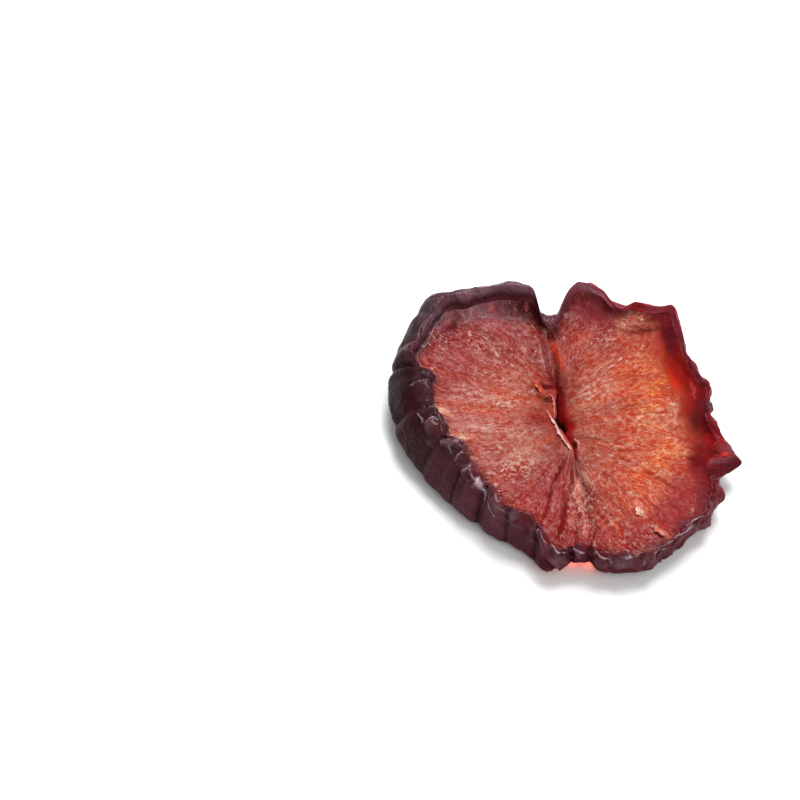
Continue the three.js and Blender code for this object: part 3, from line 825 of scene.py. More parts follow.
@dataclass(frozen=True)
class FleshFibres:
    """The cut face: fibres that run out from the slit, mealy cells and the drawn gully."""

    slow_sway: Noise = Noise(31)
    slow_counts: tuple[float, float] = (3, 4)  # round the slit and out to the rim
    swirl: float = 0.06
    quick_sway: Noise = Noise(37)
    quick_counts: tuple[float, float] = (9, 9)
    quick_share: float = 0.25
    strands: Noise = Noise(33)
    strand_counts: tuple[float, ...] = (13, 13, 5.5)
    strand_height: float = 0.035
    fibres: Noise = Noise(32)
    fibre_counts: tuple[float, ...] = (26, 26, 8)
    fibre_height: float = 0.06
    lumps: Noise = Noise(34, 3.3)
    small_lumps: Noise = Noise(36, 1.5)
    small_lump_share: float = 0.5
    lump_height: float = 0.08
    cells: Noise = Noise(38, 0.9)
    cell_height: float = 0.04
    cell_least: float = 0.3  # outside the mealy flesh
    mealy_out: Step = Step(0.55, 0.85)
    mealy_right: Step = Step(0, 0.6)
    mealy_right_loss: float = 0.6
    gully_at: float = 276  # degrees, veering on the way out
    gully_veer: float = -4
    gully_half: float = 18
    gully_creases: Noise = Noise(35)
    crease_counts: tuple[float, ...] = (8.5, 8.5, 1.3)
    gully_fold_sink: float = 0.25
    gully_fold_height: float = 0.46
    crumple: Noise = Noise(39, (1.5, 1, 1))
    crumple_sink: float = 0.3
    crumple_height: float = 0.4
    crumpled: tuple[float, ...] = (9, 18.7, 18, 4.6, 2.4)  # place, turn and half sizes
    calm: float = 0.7  # loss of relief under the roll and on smooth flesh
    roll_at: float = 118  # degrees
    roll_half: float = 27
    roll_out: Step = Step(0.68, 0.78)
    smooth_out: Step = Step(0.72, 0.84)
    smooth_slit: Step = Step(0.95, 0.6)
    from_slit: Step = Step(0.2, 1.4)
    to_skin: Step = Step(Knot.SKIN_EDGE - 0.1, Knot.SKIN_EDGE - 0.9)
    below_share: float = 0.6  # of the relief on the underside
    from_hem: Step = Step(Knot.HEM + 0.3, Knot.OUTER_UNDERSIDE)
    to_pressed: Step = Step(Knot.PRESSED_FLESH, Knot.INNER_UNDERSIDE)
    smooth_rim: Stations = ((0, 1), (70, 1), (84, 0.6), (95, 0), (325, 0), (345, 0.8))
    marks: tuple[Mark, ...] = SMALL_MARKS

    def flow(self, patch: SurfacePatch) -> Array:
        """Lay a band round the slit that follows the fibres, which sway to and fro.

        Args:
            patch: The grid.

        Returns:
            The cosine and sine of the swayed angle and the share of the way out.
        """
        turn = np.broadcast_to(patch.angle, patch.out.shape)
        sways = []
        for noise, (about, out) in ((self.slow_sway, self.slow_counts),
                                    (self.quick_sway, self.quick_counts)):
            sways.append(noise(np.stack(
                [np.cos(turn) * about, np.sin(turn) * about, patch.share * out], axis=-1)))
        bent = turn + self.swirl * sways[0] + self.quick_share * self.swirl * sways[1]
        return np.stack([np.cos(bent), np.sin(bent), patch.share], axis=-1)

    def gully(self, patch: SurfacePatch) -> Array:
        """Return how strongly each place is drawn together towards the slit's lower end."""
        middle = self.gully_at + self.gully_veer * patch.share
        return bell(degrees_between(patch.degrees, middle), self.gully_half)

    def creases(self, flow: Array) -> Array:
        """Return the gully's creases along the rays: 1 down a crease, 0 between them."""
        return self.gully_creases.ridges(flow * np.array(self.crease_counts))

    def heights(self, patch: SurfacePatch, flow: Array) -> Array:
        """Work out the relief of the fibres.

        Noise on the fibres' band is stretched along the rays, so that it makes strands;
        lumps and cells are noise in plan; the gully's folds are ridges across the rays.

        Args:
            patch: The grid.
            flow: The fibres' band.

        Returns:
            Height in millimetres for each point.
        """
        plan = patch.plan()
        level = np.concatenate([plan, 0 * plan[..., :1]], axis=-1)
        strands = self.strands(flow * np.array(self.strand_counts))
        fibres = self.fibres.ridges(flow * np.array(self.fibre_counts))
        lumps = self.lumps(level) + self.small_lump_share * self.small_lumps(level)
        cells = -self.cells.ridges(level)
        folds = self.creases(flow) - self.gully_fold_sink
        crumple = self.crumple.ridges(level) - self.crumple_sink
        crumpled = stroke(plan, *self.crumpled)
        right = 1 - self.mealy_right_loss * self.mealy_right(patch.ray[:, 0])
        mealy = partly(self.cell_least, self.mealy_out(patch.share) * right)
        relief = (self.strand_height * strands + self.fibre_height * fibres
                  + self.lump_height * lumps + self.cell_height * cells * mealy
                  - self.gully_fold_height * self.gully(patch) * folds
                  + self.crumple_height * crumpled * crumple)
        relief *= (1 - self.calm * self.under_roll(patch)) * (1 - self.calm * self.smooth(patch))
        for mark in self.marks:
            relief += mark.height * mark.share(plan)
        return relief

    def under_roll(self, patch: SurfacePatch) -> Array:
        """Return how much each place belongs to the mealy flesh under the rolled skin."""
        off = degrees_between(patch.degrees, self.roll_at)
        return bell(off, self.roll_half) * self.roll_out(patch.share)

    def smooth(self, patch: SurfacePatch) -> Array:
        """Work out how far each place is free of fibres: the clear rim, the slit's wall.

        Args:
            patch: The grid.

        Returns:
            A share from 0 to 1 for each point.
        """
        crumpled = stroke(patch.plan(), *self.crumpled)
        rim = ring(self.smooth_rim)(patch.angle) * self.smooth_out(patch.share) * (1 - crumpled)
        return np.maximum(rim, self.smooth_slit(patch.place)[:, None])

    def cover(self, place: Array) -> Array:
        """Return how much of the fibres' relief each place takes."""
        face = self.from_slit(place) * self.to_skin(place)
        return face + self.below_share * self.from_hem(place) * self.to_pressed(place)


# ---- Colour over the surface ----


def linear(code: str) -> Array:
    """Turn a colour code into the light that it stands for.

    Args:
        code: A code such as "#a03c3e".

    Returns:
        Linear red, green and blue.
    """
    value = np.array([int(code[i:i + 2], 16) for i in (1, 3, 5)]) / 255
    curve = ((value + CODE_OFFSET) / (1 + CODE_OFFSET)) ** CODE_POWER
    return np.where(value <= CODE_KNEE, value / CODE_SLOPE, curve)


def lay(colour: Array, code: str, share: Array) -> Array:
    """Lay a named colour over others, by a share from 0 to 1."""
    return colour + share[..., None] * (linear(code) - colour)


def tones(table: Sequence[tuple[float, str]], angle: Array) -> Array:
    """Blend colours that change round the slice.

    Args:
        table: Degrees and colour of each station.
        angle: Angles in radians.

    Returns:
        Linear colours as one row.
    """
    degrees = np.radians([at for at, _ in table])
    codes = np.array([linear(code) for _, code in table])
    return SmoothLoop(degrees, codes, TURN)(angle)[None]


@dataclass(frozen=True)
class FleshTint:
    """The slow changes of the flesh's colour."""

    bends: tuple[Noise, ...] = (Noise(41, 3.2), Noise(42, 3.2))  # of the patches' edges
    bend: float = 1.8
    rim_bend: float = 0.35
    rim_step: Step = Step(1.25, 0.35)  # in rim widths
    rim_strength: float = 0.9
    glow_bend: float = 0.4
    right_step: Step = Step(-0.2, 0.3)
    wall_ends: tuple[float, float] = (1.25, 0.55)  # in brow widths
    ragged: tuple[Noise, ...] = (Noise(43, 0.7), Noise(44, 0.7))  # of the marks' edges
    ragged_size: float = 0.3
    mark_bend: float = 0.12
    mark_step: Step = Step(0.08, 0.8)
    below_step: Step = Step(Knot.HEM, Knot.HEM + 0.6)
    inside_step: Step = Step(Knot.SLIT_UNDERSIDE - 0.6, Knot.SLIT_UNDERSIDE)
    base: str = "#a03634"
    patches: tuple[Mark, ...] = marks_from(
        (-12, 3.4, 0, 6.5, 5.5, "#d29588", 0.9), (-17, 5.2, -20, 3.4, 2.4, "#8c2832", 0.85),
        (-11, -5, 0, 5, 5, "#b66762", 0.8), (-17, 12, 0, 5, 6, "#96323c", 0.85),
        (-15, 8.5, 0, 3, 3, "#a23c44", 0.7), (-8, 15, 0, 6, 5, "#9c4244", 0.8),
        (-7.5, 4, 0, 5, 5, "#c8624a", 0.8), (-5.5, -10, 0, 6, 6, "#a84a4c", 0.85),
        (-2.6, -15, 0, 4, 4, "#a02c36", 0.8), (3, -20, 0, 7, 3.6, "#8a2830", 0.85),
        (5, -16.5, 0, 4, 4, "#a8242e", 0.85), (10, -11, 0, 6, 6, "#d86b45", 0.9),
        (12, 0, 0, 7, 7, "#d8683e", 0.95), (10.5, 9, 0, 6, 6, "#d65e2e", 0.9),
        (12.5, 6.5, 60, 4, 2, "#ea7c1c", 0.8), (13.4, -1.6, 0, 2.6, 2.6, "#d8805c", 0.4),
        (13.6, -4.2, 80, 3, 1.6, "#e87c24", 0.6), (11, -7.6, 60, 3, 1.4, "#e67a28", 0.5),
        (4, 13, 0, 4, 4, "#ac3a2a", 0.8), (9, 18.8, 15, 5, 2.4, "#d08468", 0.9),
        (5.2, 20.3, 25, 4.2, 3, "#a03448", 0.95), (-9.6, 20.4, -8, 6, 2.2, "#c08490", 0.9),
        # painted shade: the dark patch at (-3.8, 19.6) darkens the flesh under the notch
        (-6, 18.2, -8, 7, 1.6, "#ac6064", 0.6), (-3.8, 19.6, 160, 3.6, 2.2, "#4c0e1a", 0.9),
        (4.8, 18.2, 40, 3.2, 2.4, "#902838", 0.75), (-3.2, 1.5, 0, 2.2, 3.4, "#a42618", 0.9),
        (-0.6, -9.5, 78, 5, 1.6, "#a63434", 0.7), (2.2, 3.5, 85, 5, 0.9, "#a4302c", 0.7),
        (4.3, 5, 80, 7, 2.4, "#cc7a60", 0.85), (3.4, -6, 95, 6, 2, "#be6650", 0.7),
        # painted light at (1.9, -7.4): a pale stroke over the gully's shaded right wall; painted shade at
        # (-15.4, 17.2), under the rolled skin
        (1.9, -7.4, 105, 4.6, 1.4, "#f4a090", 0.95), (-15.4, 17.2, 60, 3, 2, "#48101c", 0.9),
        # painted shade: both dark reds on this line darken the flesh at the notch's lower end
        (-3.2, 15.6, 95, 3, 1.4, "#8c201c", 0.75), (-2.6, 17.2, 95, 2, 1.3, "#801612", 0.8),
        (3.2, 21.4, 30, 2.4, 1.4, "#7c3e4c", 0.7), (-6.2, -4, 0, 3.6, 3, "#c88872", 0.75),
        (-5.5, 10.4, 0, 3.2, 3.2, "#b87260", 0.6), (15.2, -12.6, 66, 6, 2.6, "#9c2430", 0.75),
        (11, -18.4, 28, 5, 2, "#a02c38", 0.6), (17.6, -3.4, 100, 4, 1.1, "#a01814", 0.6),
    )
    # painted glow: bright reds where light shines through the thin flesh at the rim
    painted_glows: tuple[Mark, ...] = marks_from(
        (15.4, 9.8, 118, 3.6, 1.5, "#9c150c", 0.95), (16.8, 4.6, 70, 2.6, 0.9, "#a01a12", 0.8),
        (10, 21.6, 20, 1.6, 0.7, "#d01216", 0.9), (19.4, -0.5, 100, 3, 0.7, "#b01410", 0.7),
        (15, 8.2, 112, 2.2, 0.7, "#dc340c", 0.8), (3.4, 21.6, 150, 1.6, 0.9, "#8a1422", 0.7),
    )
    rim: Sequence[tuple[float, str]] = (
        (0, "#52060c"), (20, "#60080c"), (45, "#6e0a10"), (70, "#74182a"), (86, "#74323e"),
        (100, "#561824"), (106, "#501420"), (113, "#985a64"), (121, "#b06e78"),
        (135, "#a8646e"), (150, "#8c4048"), (180, "#8a2a2c"), (230, "#7c2428"),
        (270, "#782026"), (310, "#7e2c34"), (325, "#742832"), (337, "#801a20"), (348, "#6e0c10"))
    rim_width: Stations = (
        (0, 3.4), (10, 3.6), (22, 3.4), (40, 2.8), (50, 2.4), (56, 1), (76, 0.8), (82, 1),
        (110, 1.2), (140, 0.9), (200, 0.7), (250, 0.9), (290, 1.4), (325, 2.4), (345, 3))
    slit_wall: str = "#b2201b"
    slit_inside: str = "#a8302a"
    # painted shade: the hole through the slice is laid near black
    hole: str = "#120506"
    hole_shade: Mark = Mark(-0.7, 0.9, 101, 1.9, 1.9, "#120506", 1.0)
    underside: str = "#962f24"

    def over(self, patch: SurfacePatch, marks: tuple[Mark, ...]) -> Array:
        """Mix the flesh's colour for each point.

        It starts from one colour, and each patch is laid over it with a bell-shaped edge,
        bent by a slow noise; a few patches are painted shade and one is painted light. A dark
        band follows the rim and the slit's wall, painted glows of the light let through the thin
        rim are laid over it, and the hole is laid near black as painted shade.

        Args:
            patch: The grid.
            marks: Small marks, laid last.

        Returns:
            Linear colours, last axis three.
        """
        plan = patch.plan()
        level = np.concatenate([plan, patch.up[..., None]], axis=-1)
        bend = wander(self.bends, level) * self.bend
        colour = np.broadcast_to(linear(self.base), level.shape)
        for spot in self.patches:
            colour = lay(colour, spot.colour, spot.strength * spot.share(plan + bend))
        inward = np.maximum(patch.face - patch.out + bend[..., 0] * self.rim_bend, 0)
        near = self.rim_step(inward / ring(self.rim_width)(patch.angle))[..., None]
        colour = colour + self.rim_strength * near * (tones(self.rim, patch.angle) - colour)
        # lay the painted glows of light let through the thin rim
        for glow in self.painted_glows:
            share = glow.share(plan + self.glow_bend * bend)
            colour = lay(colour, glow.colour, glow.strength * share)
        wall = Step(*(patch.form.brow_width * end for end in self.wall_ends))(patch.out)
        colour = lay(colour, self.slit_wall, wall * self.right_step(patch.ray[:, 0]))
        ragged = wander(self.ragged, level) * self.ragged_size
        for mark in marks:
            share = self.mark_step(mark.share(plan + self.mark_bend * bend + ragged))
            colour = lay(colour, mark.colour, mark.strength * share)
        every = np.ones_like(patch.out)
        below = self.below_step(patch.place)[:, None]
        colour = lay(colour, self.underside, below * every)
        inside = self.inside_step(patch.place)[:, None] * every
        colour = lay(colour, self.slit_inside, inside)
        # painted shade: the hole is laid near black
        return lay(colour, self.hole, inside * self.hole_shade.share(plan))


@dataclass(frozen=True)
class SkinTint:
    """The slow changes of the skin's colour: tones round the rim for its top and its wall."""

    gloss: Stations = (
        (0, 0.2), (60, 0.2), (100, 0.3), (125, 0.25), (150, 0.2), (165, 0.25), (190, 0.4),
        (215, 0.45), (240, 0.4), (256, 0.28), (270, 0.2), (300, 0.2), (325, 0.22), (338, 0.1),
        (350, 0.05))
    edge: str = "#64303c"  # painted shade, soft, where the roll meets the flesh
    edge_half: float = 0.22  # in knots
    edge_share: Stations = ((0, 0), (84, 0), (96, 0.8), (120, 0.8), (130, 0.2), (140, 0), (260, 0))
    ridge: str = "#84606c"  # painted highlight along the roll's top
    ridge_share: float = 0.6
    ridge_middle: float = 0.6  # knots past the skin's edge
    ridge_half: float = 0.2
    wall_noise: Noise = Noise(51, 3)  # moves where the wall's tones begin
    wall_change: float = 0.9
    wall_step: Step = Step(1.4, 4.2)
    fold: str = "#1a0a10"  # painted shade deep in a pleat
    pleat_shade_share: float = 0.85
    fold_width: float = 0.6  # of a pleat's own
    fold_depth: Step = Step(0.2, 1)
    fold_down: Step = Step(0.15, 0.3)
    stains_and_painted_light: tuple[tuple[Fold, str], ...] = (
        (Fold(351.0, 0.9, 0, 2.4, 1.3, 1.0), "#8a0a10"),
        # painted sheen: the pale lilac strip at 354 degrees
        (Fold(354.0, 2.6, 0, 2.4, 0.6, 0.8), "#8c6a72"),
        # painted glow: the bright red line of light through the thin tip
        (Fold(345.6, 1.4, 70, 0.8, 0.22, 0.95), "#f0280c"),
        (Fold(6.0, 0.9, 0, 1.2, 0.9, 0.95), "#3a2028"),
        (Fold(342.5, 1.6, 70, 1.4, 0.5, 0.6), "#7c4450"),
        # painted glow: red light through the thin back-right rim
        (Fold(61.0, 0.9, 0, 1.1, 0.5, 0.9), "#c01018"),
        # painted highlight: the thin lilac line on the top lobe's crease
        (Fold(78.5, 0.75, 0, 2.4, 0.16, 0.8), "#a8848c"),
        # painted highlight: three lilac strokes along the roll's crest
        (Fold(125.0, 1.15, 0, 1.8, 0.4, 0.7), "#8c6a72"),
        (Fold(118.5, 1.05, 0, 1.1, 0.3, 0.7), "#8c6a72"),
        (Fold(108.5, 0.7, 0, 3.6, 0.22, 0.7), "#84626c"),
        (Fold(138.5, 2.2, 30, 1.6, 1.0, 0.6), "#483a4c"),
        (Fold(230.5, 3.4, 30, 1.5, 0.7, 0.7), "#6c4a5e"),
        # painted glow: red light let through under the front hem
        (Fold(276.0, 5.2, 0, 2.4, 0.9, 0.8), "#b0301c"),
    )
    top: Sequence[tuple[float, str]] = (
        (0, "#8c2832"), (14, "#8c2a36"), (33, "#74202c"), (47, "#a03844"), (56, "#bc4856"),
        (71, "#b84a58"), (80, "#a44c5a"), (88, "#6c2e3a"), (104, "#5a2834"), (135, "#583038"),
        (160, "#4a2228"), (185, "#4c2228"), (205, "#62282e"), (235, "#64262e"), (265, "#5e2028"),
        (300, "#642630"), (315, "#682832"), (336, "#741c24"), (345, "#841c24"))
    wall: Sequence[tuple[float, str]] = (
        (0, "#7a2028"), (60, "#601d26"), (104, "#4c1c25"), (135, "#3c2024"), (160, "#321518"),
        (185, "#321619"), (205, "#522a32"), (240, "#643440"), (270, "#561c24"),
        (310, "#602832"), (345, "#6a1c26"))

    def over(self, patch: SurfacePatch) -> Array:
        """Mix the skin's colour for each point.

        Args:
            patch: The grid.

        Returns:
            Linear colours, last axis three.
        """
        band, down = rim_space(patch)
        low = self.wall_step(down + self.wall_change * self.wall_noise(band))[..., None]
        top, wall = tones(self.top, patch.angle), tones(self.wall, patch.angle)
        colour = top + low * (wall - top)
        # stains, and painted glows, highlights and sheen
        for spot, code in self.stains_and_painted_light:
            colour = lay(colour, code, spot.spot(patch.degrees, down))
        # painted shade deep in the pleats
        colour = lay(colour, self.fold, self.pleat_shade_share * self.in_pleats(patch))
        share = ring(self.edge_share)(patch.angle)
        from_edge = (patch.place - Knot.SKIN_EDGE)[:, None]
        # painted highlight along the roll's top
        ridge = bell(from_edge - self.ridge_middle, self.ridge_half)
        colour = lay(colour, self.ridge, self.ridge_share * share * ridge)
        # painted shade where the roll meets the flesh
        return lay(colour, self.edge, share * bell(from_edge, self.edge_half))

    def in_pleats(self, patch: SurfacePatch) -> Array:
        """Work out how deep each point lies in the form's pleats.

        Args:
            patch: The grid.

        Returns:
            A share from 0 to 1 for each point, for the painted shade in the pleats.
        """
        down = down_wall(patch.place)
        depth = np.zeros_like(patch.out)
        for at, half_width, deep, lean in patch.form.pleats:
            off = degrees_between(patch.degrees, at + lean * down)
            depth = np.maximum(depth, deep * bell(off, self.fold_width * half_width))
        return self.fold_depth(depth) * self.fold_down(down)


# ---- Mesh ----


def bridge(first: int, second: int, first_start: int, second_start: int) -> Array:
    """Join two neighbouring rows with triangles, where one may have more columns.

    Args:
        first: Columns of the first row.
        second: Columns of the second row.
        first_start: Index of the first row's first point.
        second_start: Index of the second row's first point.

    Returns:
        Three point indices for each triangle.
    """
    columns = max(first, second)
    here = np.arange(columns)
    after = (here + 1) % columns
    a, d = (first_start + step * first // columns for step in (here, after))
    b, c = (second_start + step * second // columns for step in (here, after))
    left = np.stack([a, b, c], axis=-1)[b != c]
    right = np.stack([a, c, d], axis=-1)[a != d]
    return np.concatenate([left, right])


def place_object(name: str, data: bpy.types.ID, place: Sequence[float],
                 turn: Sequence[float] = (0, 0, 0)) -> bpy.types.Object:
    """Put a lamp, a camera or a mesh into the scene.

    Args:
        name: The object's name.
        data: What it holds.
        place: Where it stands.
        turn: Its turn about each axis.

    Returns:
        The object.
    """
    holder = bpy.data.objects.new(name, data)
    holder.location = place
    holder.rotation_euler = turn
    bpy.context.scene.collection.objects.link(holder)
    return holder


def mesh_object(name: str, points: Array, triangles: Array) -> bpy.types.Object:
    """Make a smooth-shaded mesh object at the origin.

    Args:
        name: Its name.
        points: Points in millimetres.
        triangles: Three point indices each.

    Returns:
        The object, linked to the scene.
    """
    mesh = bpy.data.meshes.new(name)
    mesh.vertices.add(len(points))
    mesh.vertices.foreach_set("co", (points * METRE).astype(np.float32).ravel())
    mesh.loops.add(triangles.size)
    mesh.loops.foreach_set("vertex_index", triangles.astype(np.int32).ravel())
    mesh.polygons.add(len(triangles))
    mesh.polygons.foreach_set("loop_start", np.arange(0, triangles.size, 3, dtype=np.int32))
    mesh.polygons.foreach_set("use_smooth", np.ones(len(triangles), dtype=bool))
    mesh.update(calc_edges=True)
    mesh.validate()
    return place_object(name, mesh, (0, 0, 0))


def store(mesh: bpy.types.Mesh, name: str, values: Array) -> None:
    """Keep a number or a vector for each point as a mesh attribute.

    Args:
        mesh: The mesh.
        name: The attribute's name.
        values: One number or one row of three for each point.
    """
    vector = values.ndim == 2
    kind, key = ("FLOAT_VECTOR", "vector") if vector else ("FLOAT", "value")
    layer = mesh.attributes.new(name, kind, "POINT")
    layer.data.foreach_set(key, values.astype(np.float32).ravel())


@dataclass
class Loft:
    """Rows of points round the slice, joined in order into one closed surface."""

    wall_shares: tuple[float, ...] = (0.15, 0.5, 0.85)  # of the way, one for each hidden row
    rows: list[tuple[int, int]] = field(default_factory=list)  # start and columns
    points: list[Array] = field(default_factory=list)
    layers: dict[str, list[Array]] = field(default_factory=dict)

    def add(self, grid: Array, **layers: Array) -> None:
        """Add rows.

        Args:
            grid: Points in millimetres: rows, columns and x, y, z.
            **layers: Attributes, one number or row of three for each point.
        """
        start = sum(len(done) for done in self.points)
        for row in range(len(grid)):
            self.rows.append((start + row * grid.shape[1], grid.shape[1]))
        self.points.append(grid.reshape(-1, 3))
        for name, values in layers.items():
            width = values.shape[2:]
            self.layers.setdefault(name, []).append(values.reshape((-1,) + width))

    def hidden_wall(self, first: Array, last: Array, ray: Array, inset: float,
                    layers: dict[str, Array]) -> None:
        """Close the section inside the slice, from one row to another.

        The wall is coarser and takes only every second or fourth column. Its rows lie on
        the straight line between the two, moved inwards by a sine of the way along it.

        Args:
            first: The row that the wall starts from.
            last: The row that it ends at.
            ray: Direction outwards in plan of each column.
            inset: Greatest way inwards, in millimetres.
            layers: Rows of each attribute; the wall repeats the last one.
        """
        first, last, ray = (row[::len(row) // WALL_COLUMNS] for row in (first, last, ray))
        step = layers["tint"].shape[1] // WALL_COLUMNS
        for share in self.wall_shares:
            row = first + share * (last - first)
            row[:, :2] -= ray * inset * math.sin(math.pi * share)
            self.add(row[None], **{name: rows[-1:, ::step] for name, rows in layers.items()})

    def piece(self, name: str) -> bpy.types.Object:
        """Join the rows, the last one to the first, and store the attributes.

        Args:
            name: The piece's name.

        Returns:
            The piece.
        """
        triangles = [bridge(here[1], after[1], here[0], after[0])
                     for here, after in zip(self.rows, self.rows[1:] + self.rows[:1])]
        made = mesh_object(name, np.concatenate(self.points), np.concatenate(triangles))
        for layer, values in self.layers.items():
            store(made.data, layer, np.concatenate(values))
        return made


@dataclass(frozen=True)
class Stretch:
    """A stretch of the cross-section and how finely it is laid."""

    first: float
    last: float
    rows: int
    columns: int

    @property
    def places(self) -> Array:
        """Return the places of its rows, in knots, without the last one."""
        return self.first + (self.last - self.first) * np.arange(self.rows) / self.rows


@dataclass
class FleshBody:
    """The flesh: the cut face, the slit and the underside, closed behind the skin."""

    form: SliceForm = field(default_factory=SliceForm)
    fibres: FleshFibres = field(default_factory=FleshFibres)
    tint: FleshTint = field(default_factory=FleshTint)
    tuck: float = 0.25  # of its edge under the skin's
    tuck_step: Step = Step(4.86, 4.91)
    mealy_out: Step = Step(0.5, 0.85)
    pallor_step: Step = Step(0.02, 0.2)
    pallor_left: Step = Step(0.02, 0.06)
    left_step: Step = Step(0.8, 0.45)
    left_share: float = 0.85
    valley_step: Step = Step(0.2, 0.7)
    slit_light: float = 0.45
    slit_step: Step = Step(0.03, 0.3)
    wall_drop: float = 0.2
    wall_inset: float = 0.3
    top: tuple[Stretch, ...] = (
        Stretch(0, 1, 10, 256), Stretch(1, 2, 22, 512), Stretch(2, 3, 40, 512),
        Stretch(3, 4, 30, 1024), Stretch(4, 4.98, 14, 1024))
    underside: tuple[Stretch, ...] = (
        Stretch(9.35, 10, 8, 512), Stretch(10, 11, 14, 256), Stretch(11, 14, 12, 128))

    def lay_rows(self, stretch: Stretch) -> tuple[Array, SurfacePatch, dict]:
        """Work out one stretch of rows.

        The finish is told where the flesh is mealy, how light it may be (pale colours most,
        and all of the left side) and where the gully's creases lie.

        Args:
            stretch: The part of the cross-section.

        Returns:
            The stretch's points, its grid and its attributes.
        """
        patch = patch_of(self.form, stretch.places, stretch.columns)
        flow = self.fibres.flow(patch)
        height = self.form.relief(patch.angle, patch.place, patch.share, patch.plan())
        height += self.fibres.heights(patch, flow) * self.fibres.cover(patch.place)[:, None]
        height -= self.tuck * self.tuck_step(patch.place)[:, None]
        mealy = self.mealy_out(patch.share) + self.fibres.under_roll(patch)
        tint = self.tint.over(patch, self.fibres.marks)
        pallor = tint[..., 1] + tint[..., 2]
        left = self.left_share * self.left_step(patch.ray[:, 0])
        light = np.maximum(self.pallor_step(pallor), left * self.pallor_left(pallor))
        light *= partly(self.slit_light, self.slit_step(patch.share))
        # the gully's creases, which the finish darkens as painted shade
        valley = self.fibres.gully(patch) * self.valley_step(self.fibres.creases(flow))
        layers = {"fibre": flow, "tint": tint, "smooth": self.fibres.smooth(patch),
                  "drawn": np.stack([valley, mealy, light], axis=-1)}
        return patch.points(height), patch, layers

    def build(self) -> tuple[bpy.types.Object, Array]:
        """Lay the surface.

        Returns:
            The piece, and the points of its upper side in millimetres.
        """
        loft = Loft()
        upper = [self.lay_rows(stretch) for stretch in self.top]
        lower = [self.lay_rows(stretch) for stretch in self.underside]
        for grid, patch, layers in upper:
            loft.add(grid, **layers)
        edge = grid[-1] - np.array([0, 0, self.wall_drop])
        loft.hidden_wall(edge, lower[0][0][0], patch.ray, self.wall_inset, layers)
        for grid, _, layers in lower:
            loft.add(grid, **layers)
        return loft.piece("plum_flesh"), np.concatenate([rows[0].reshape(-1, 3) for rows in upper])


@dataclass
class SkinRing:
    """The skin: a ring from its dried edge over the crest and down the wall to the hem."""

    form: SliceForm = field(default_factory=SliceForm)
    wrinkles: SkinWrinkles = field(default_factory=SkinWrinkles)
    tint: SkinTint = field(default_factory=SkinTint)
    stretches: tuple[Stretch, ...] = (
        Stretch(4.75, 5.15, 14, 1024), Stretch(5.15, 6, 17, 1024), Stretch(6, 7, 25, 1024),
        Stretch(7, 8, 18, 1024), Stretch(8, 9, 12, 1024), Stretch(9, 9.6, 6, 512))
    front_at: float = 290  # degrees, where its crests stay dark
    front_half: float = 48
    front_loss: float = 0.6
    gloss_down: Step = Step(4.6, 2.2)
    paper_at: float = 4.95  # knots, where its cut edge is pale
    paper_half: float = 0.16

    def build(self) -> bpy.types.Object:
        """Lay the surface and close it inside, from the hem back to the edge.

        Returns:
            The piece.
        """
        loft = Loft()
        firsts = []
        for stretch in self.stretches:
            patch = patch_of(self.form, stretch.places, stretch.columns)
            fine = self.wrinkles.heights(patch)
            lip = self.wrinkles.lip(patch)
            height = self.form.relief(patch.angle, patch.place, patch.share, patch.plan())
            grid = patch.points(height + fine + lip)
            _, down = rim_space(patch)
            front = bell(degrees_between(patch.degrees, self.front_at), self.front_half)
            paper = bell(patch.place - self.paper_at, self.paper_half)[:, None]
            layers = {"tint": self.tint.over(patch),
                      "gloss": ring(self.tint.gloss)(patch.angle) * self.gloss_down(down),
                      "crest": fine * (1 - self.front_loss * front),
                      "highlit_crests": self.wrinkles.highlit_crests(patch), "lip": lip * paper}
            loft.add(grid, **layers)
            firsts.append(grid[0])
        loft.hidden_wall(grid[-1], firsts[0], patch.ray, 0.0, layers)
        return loft.piece("plum_skin")


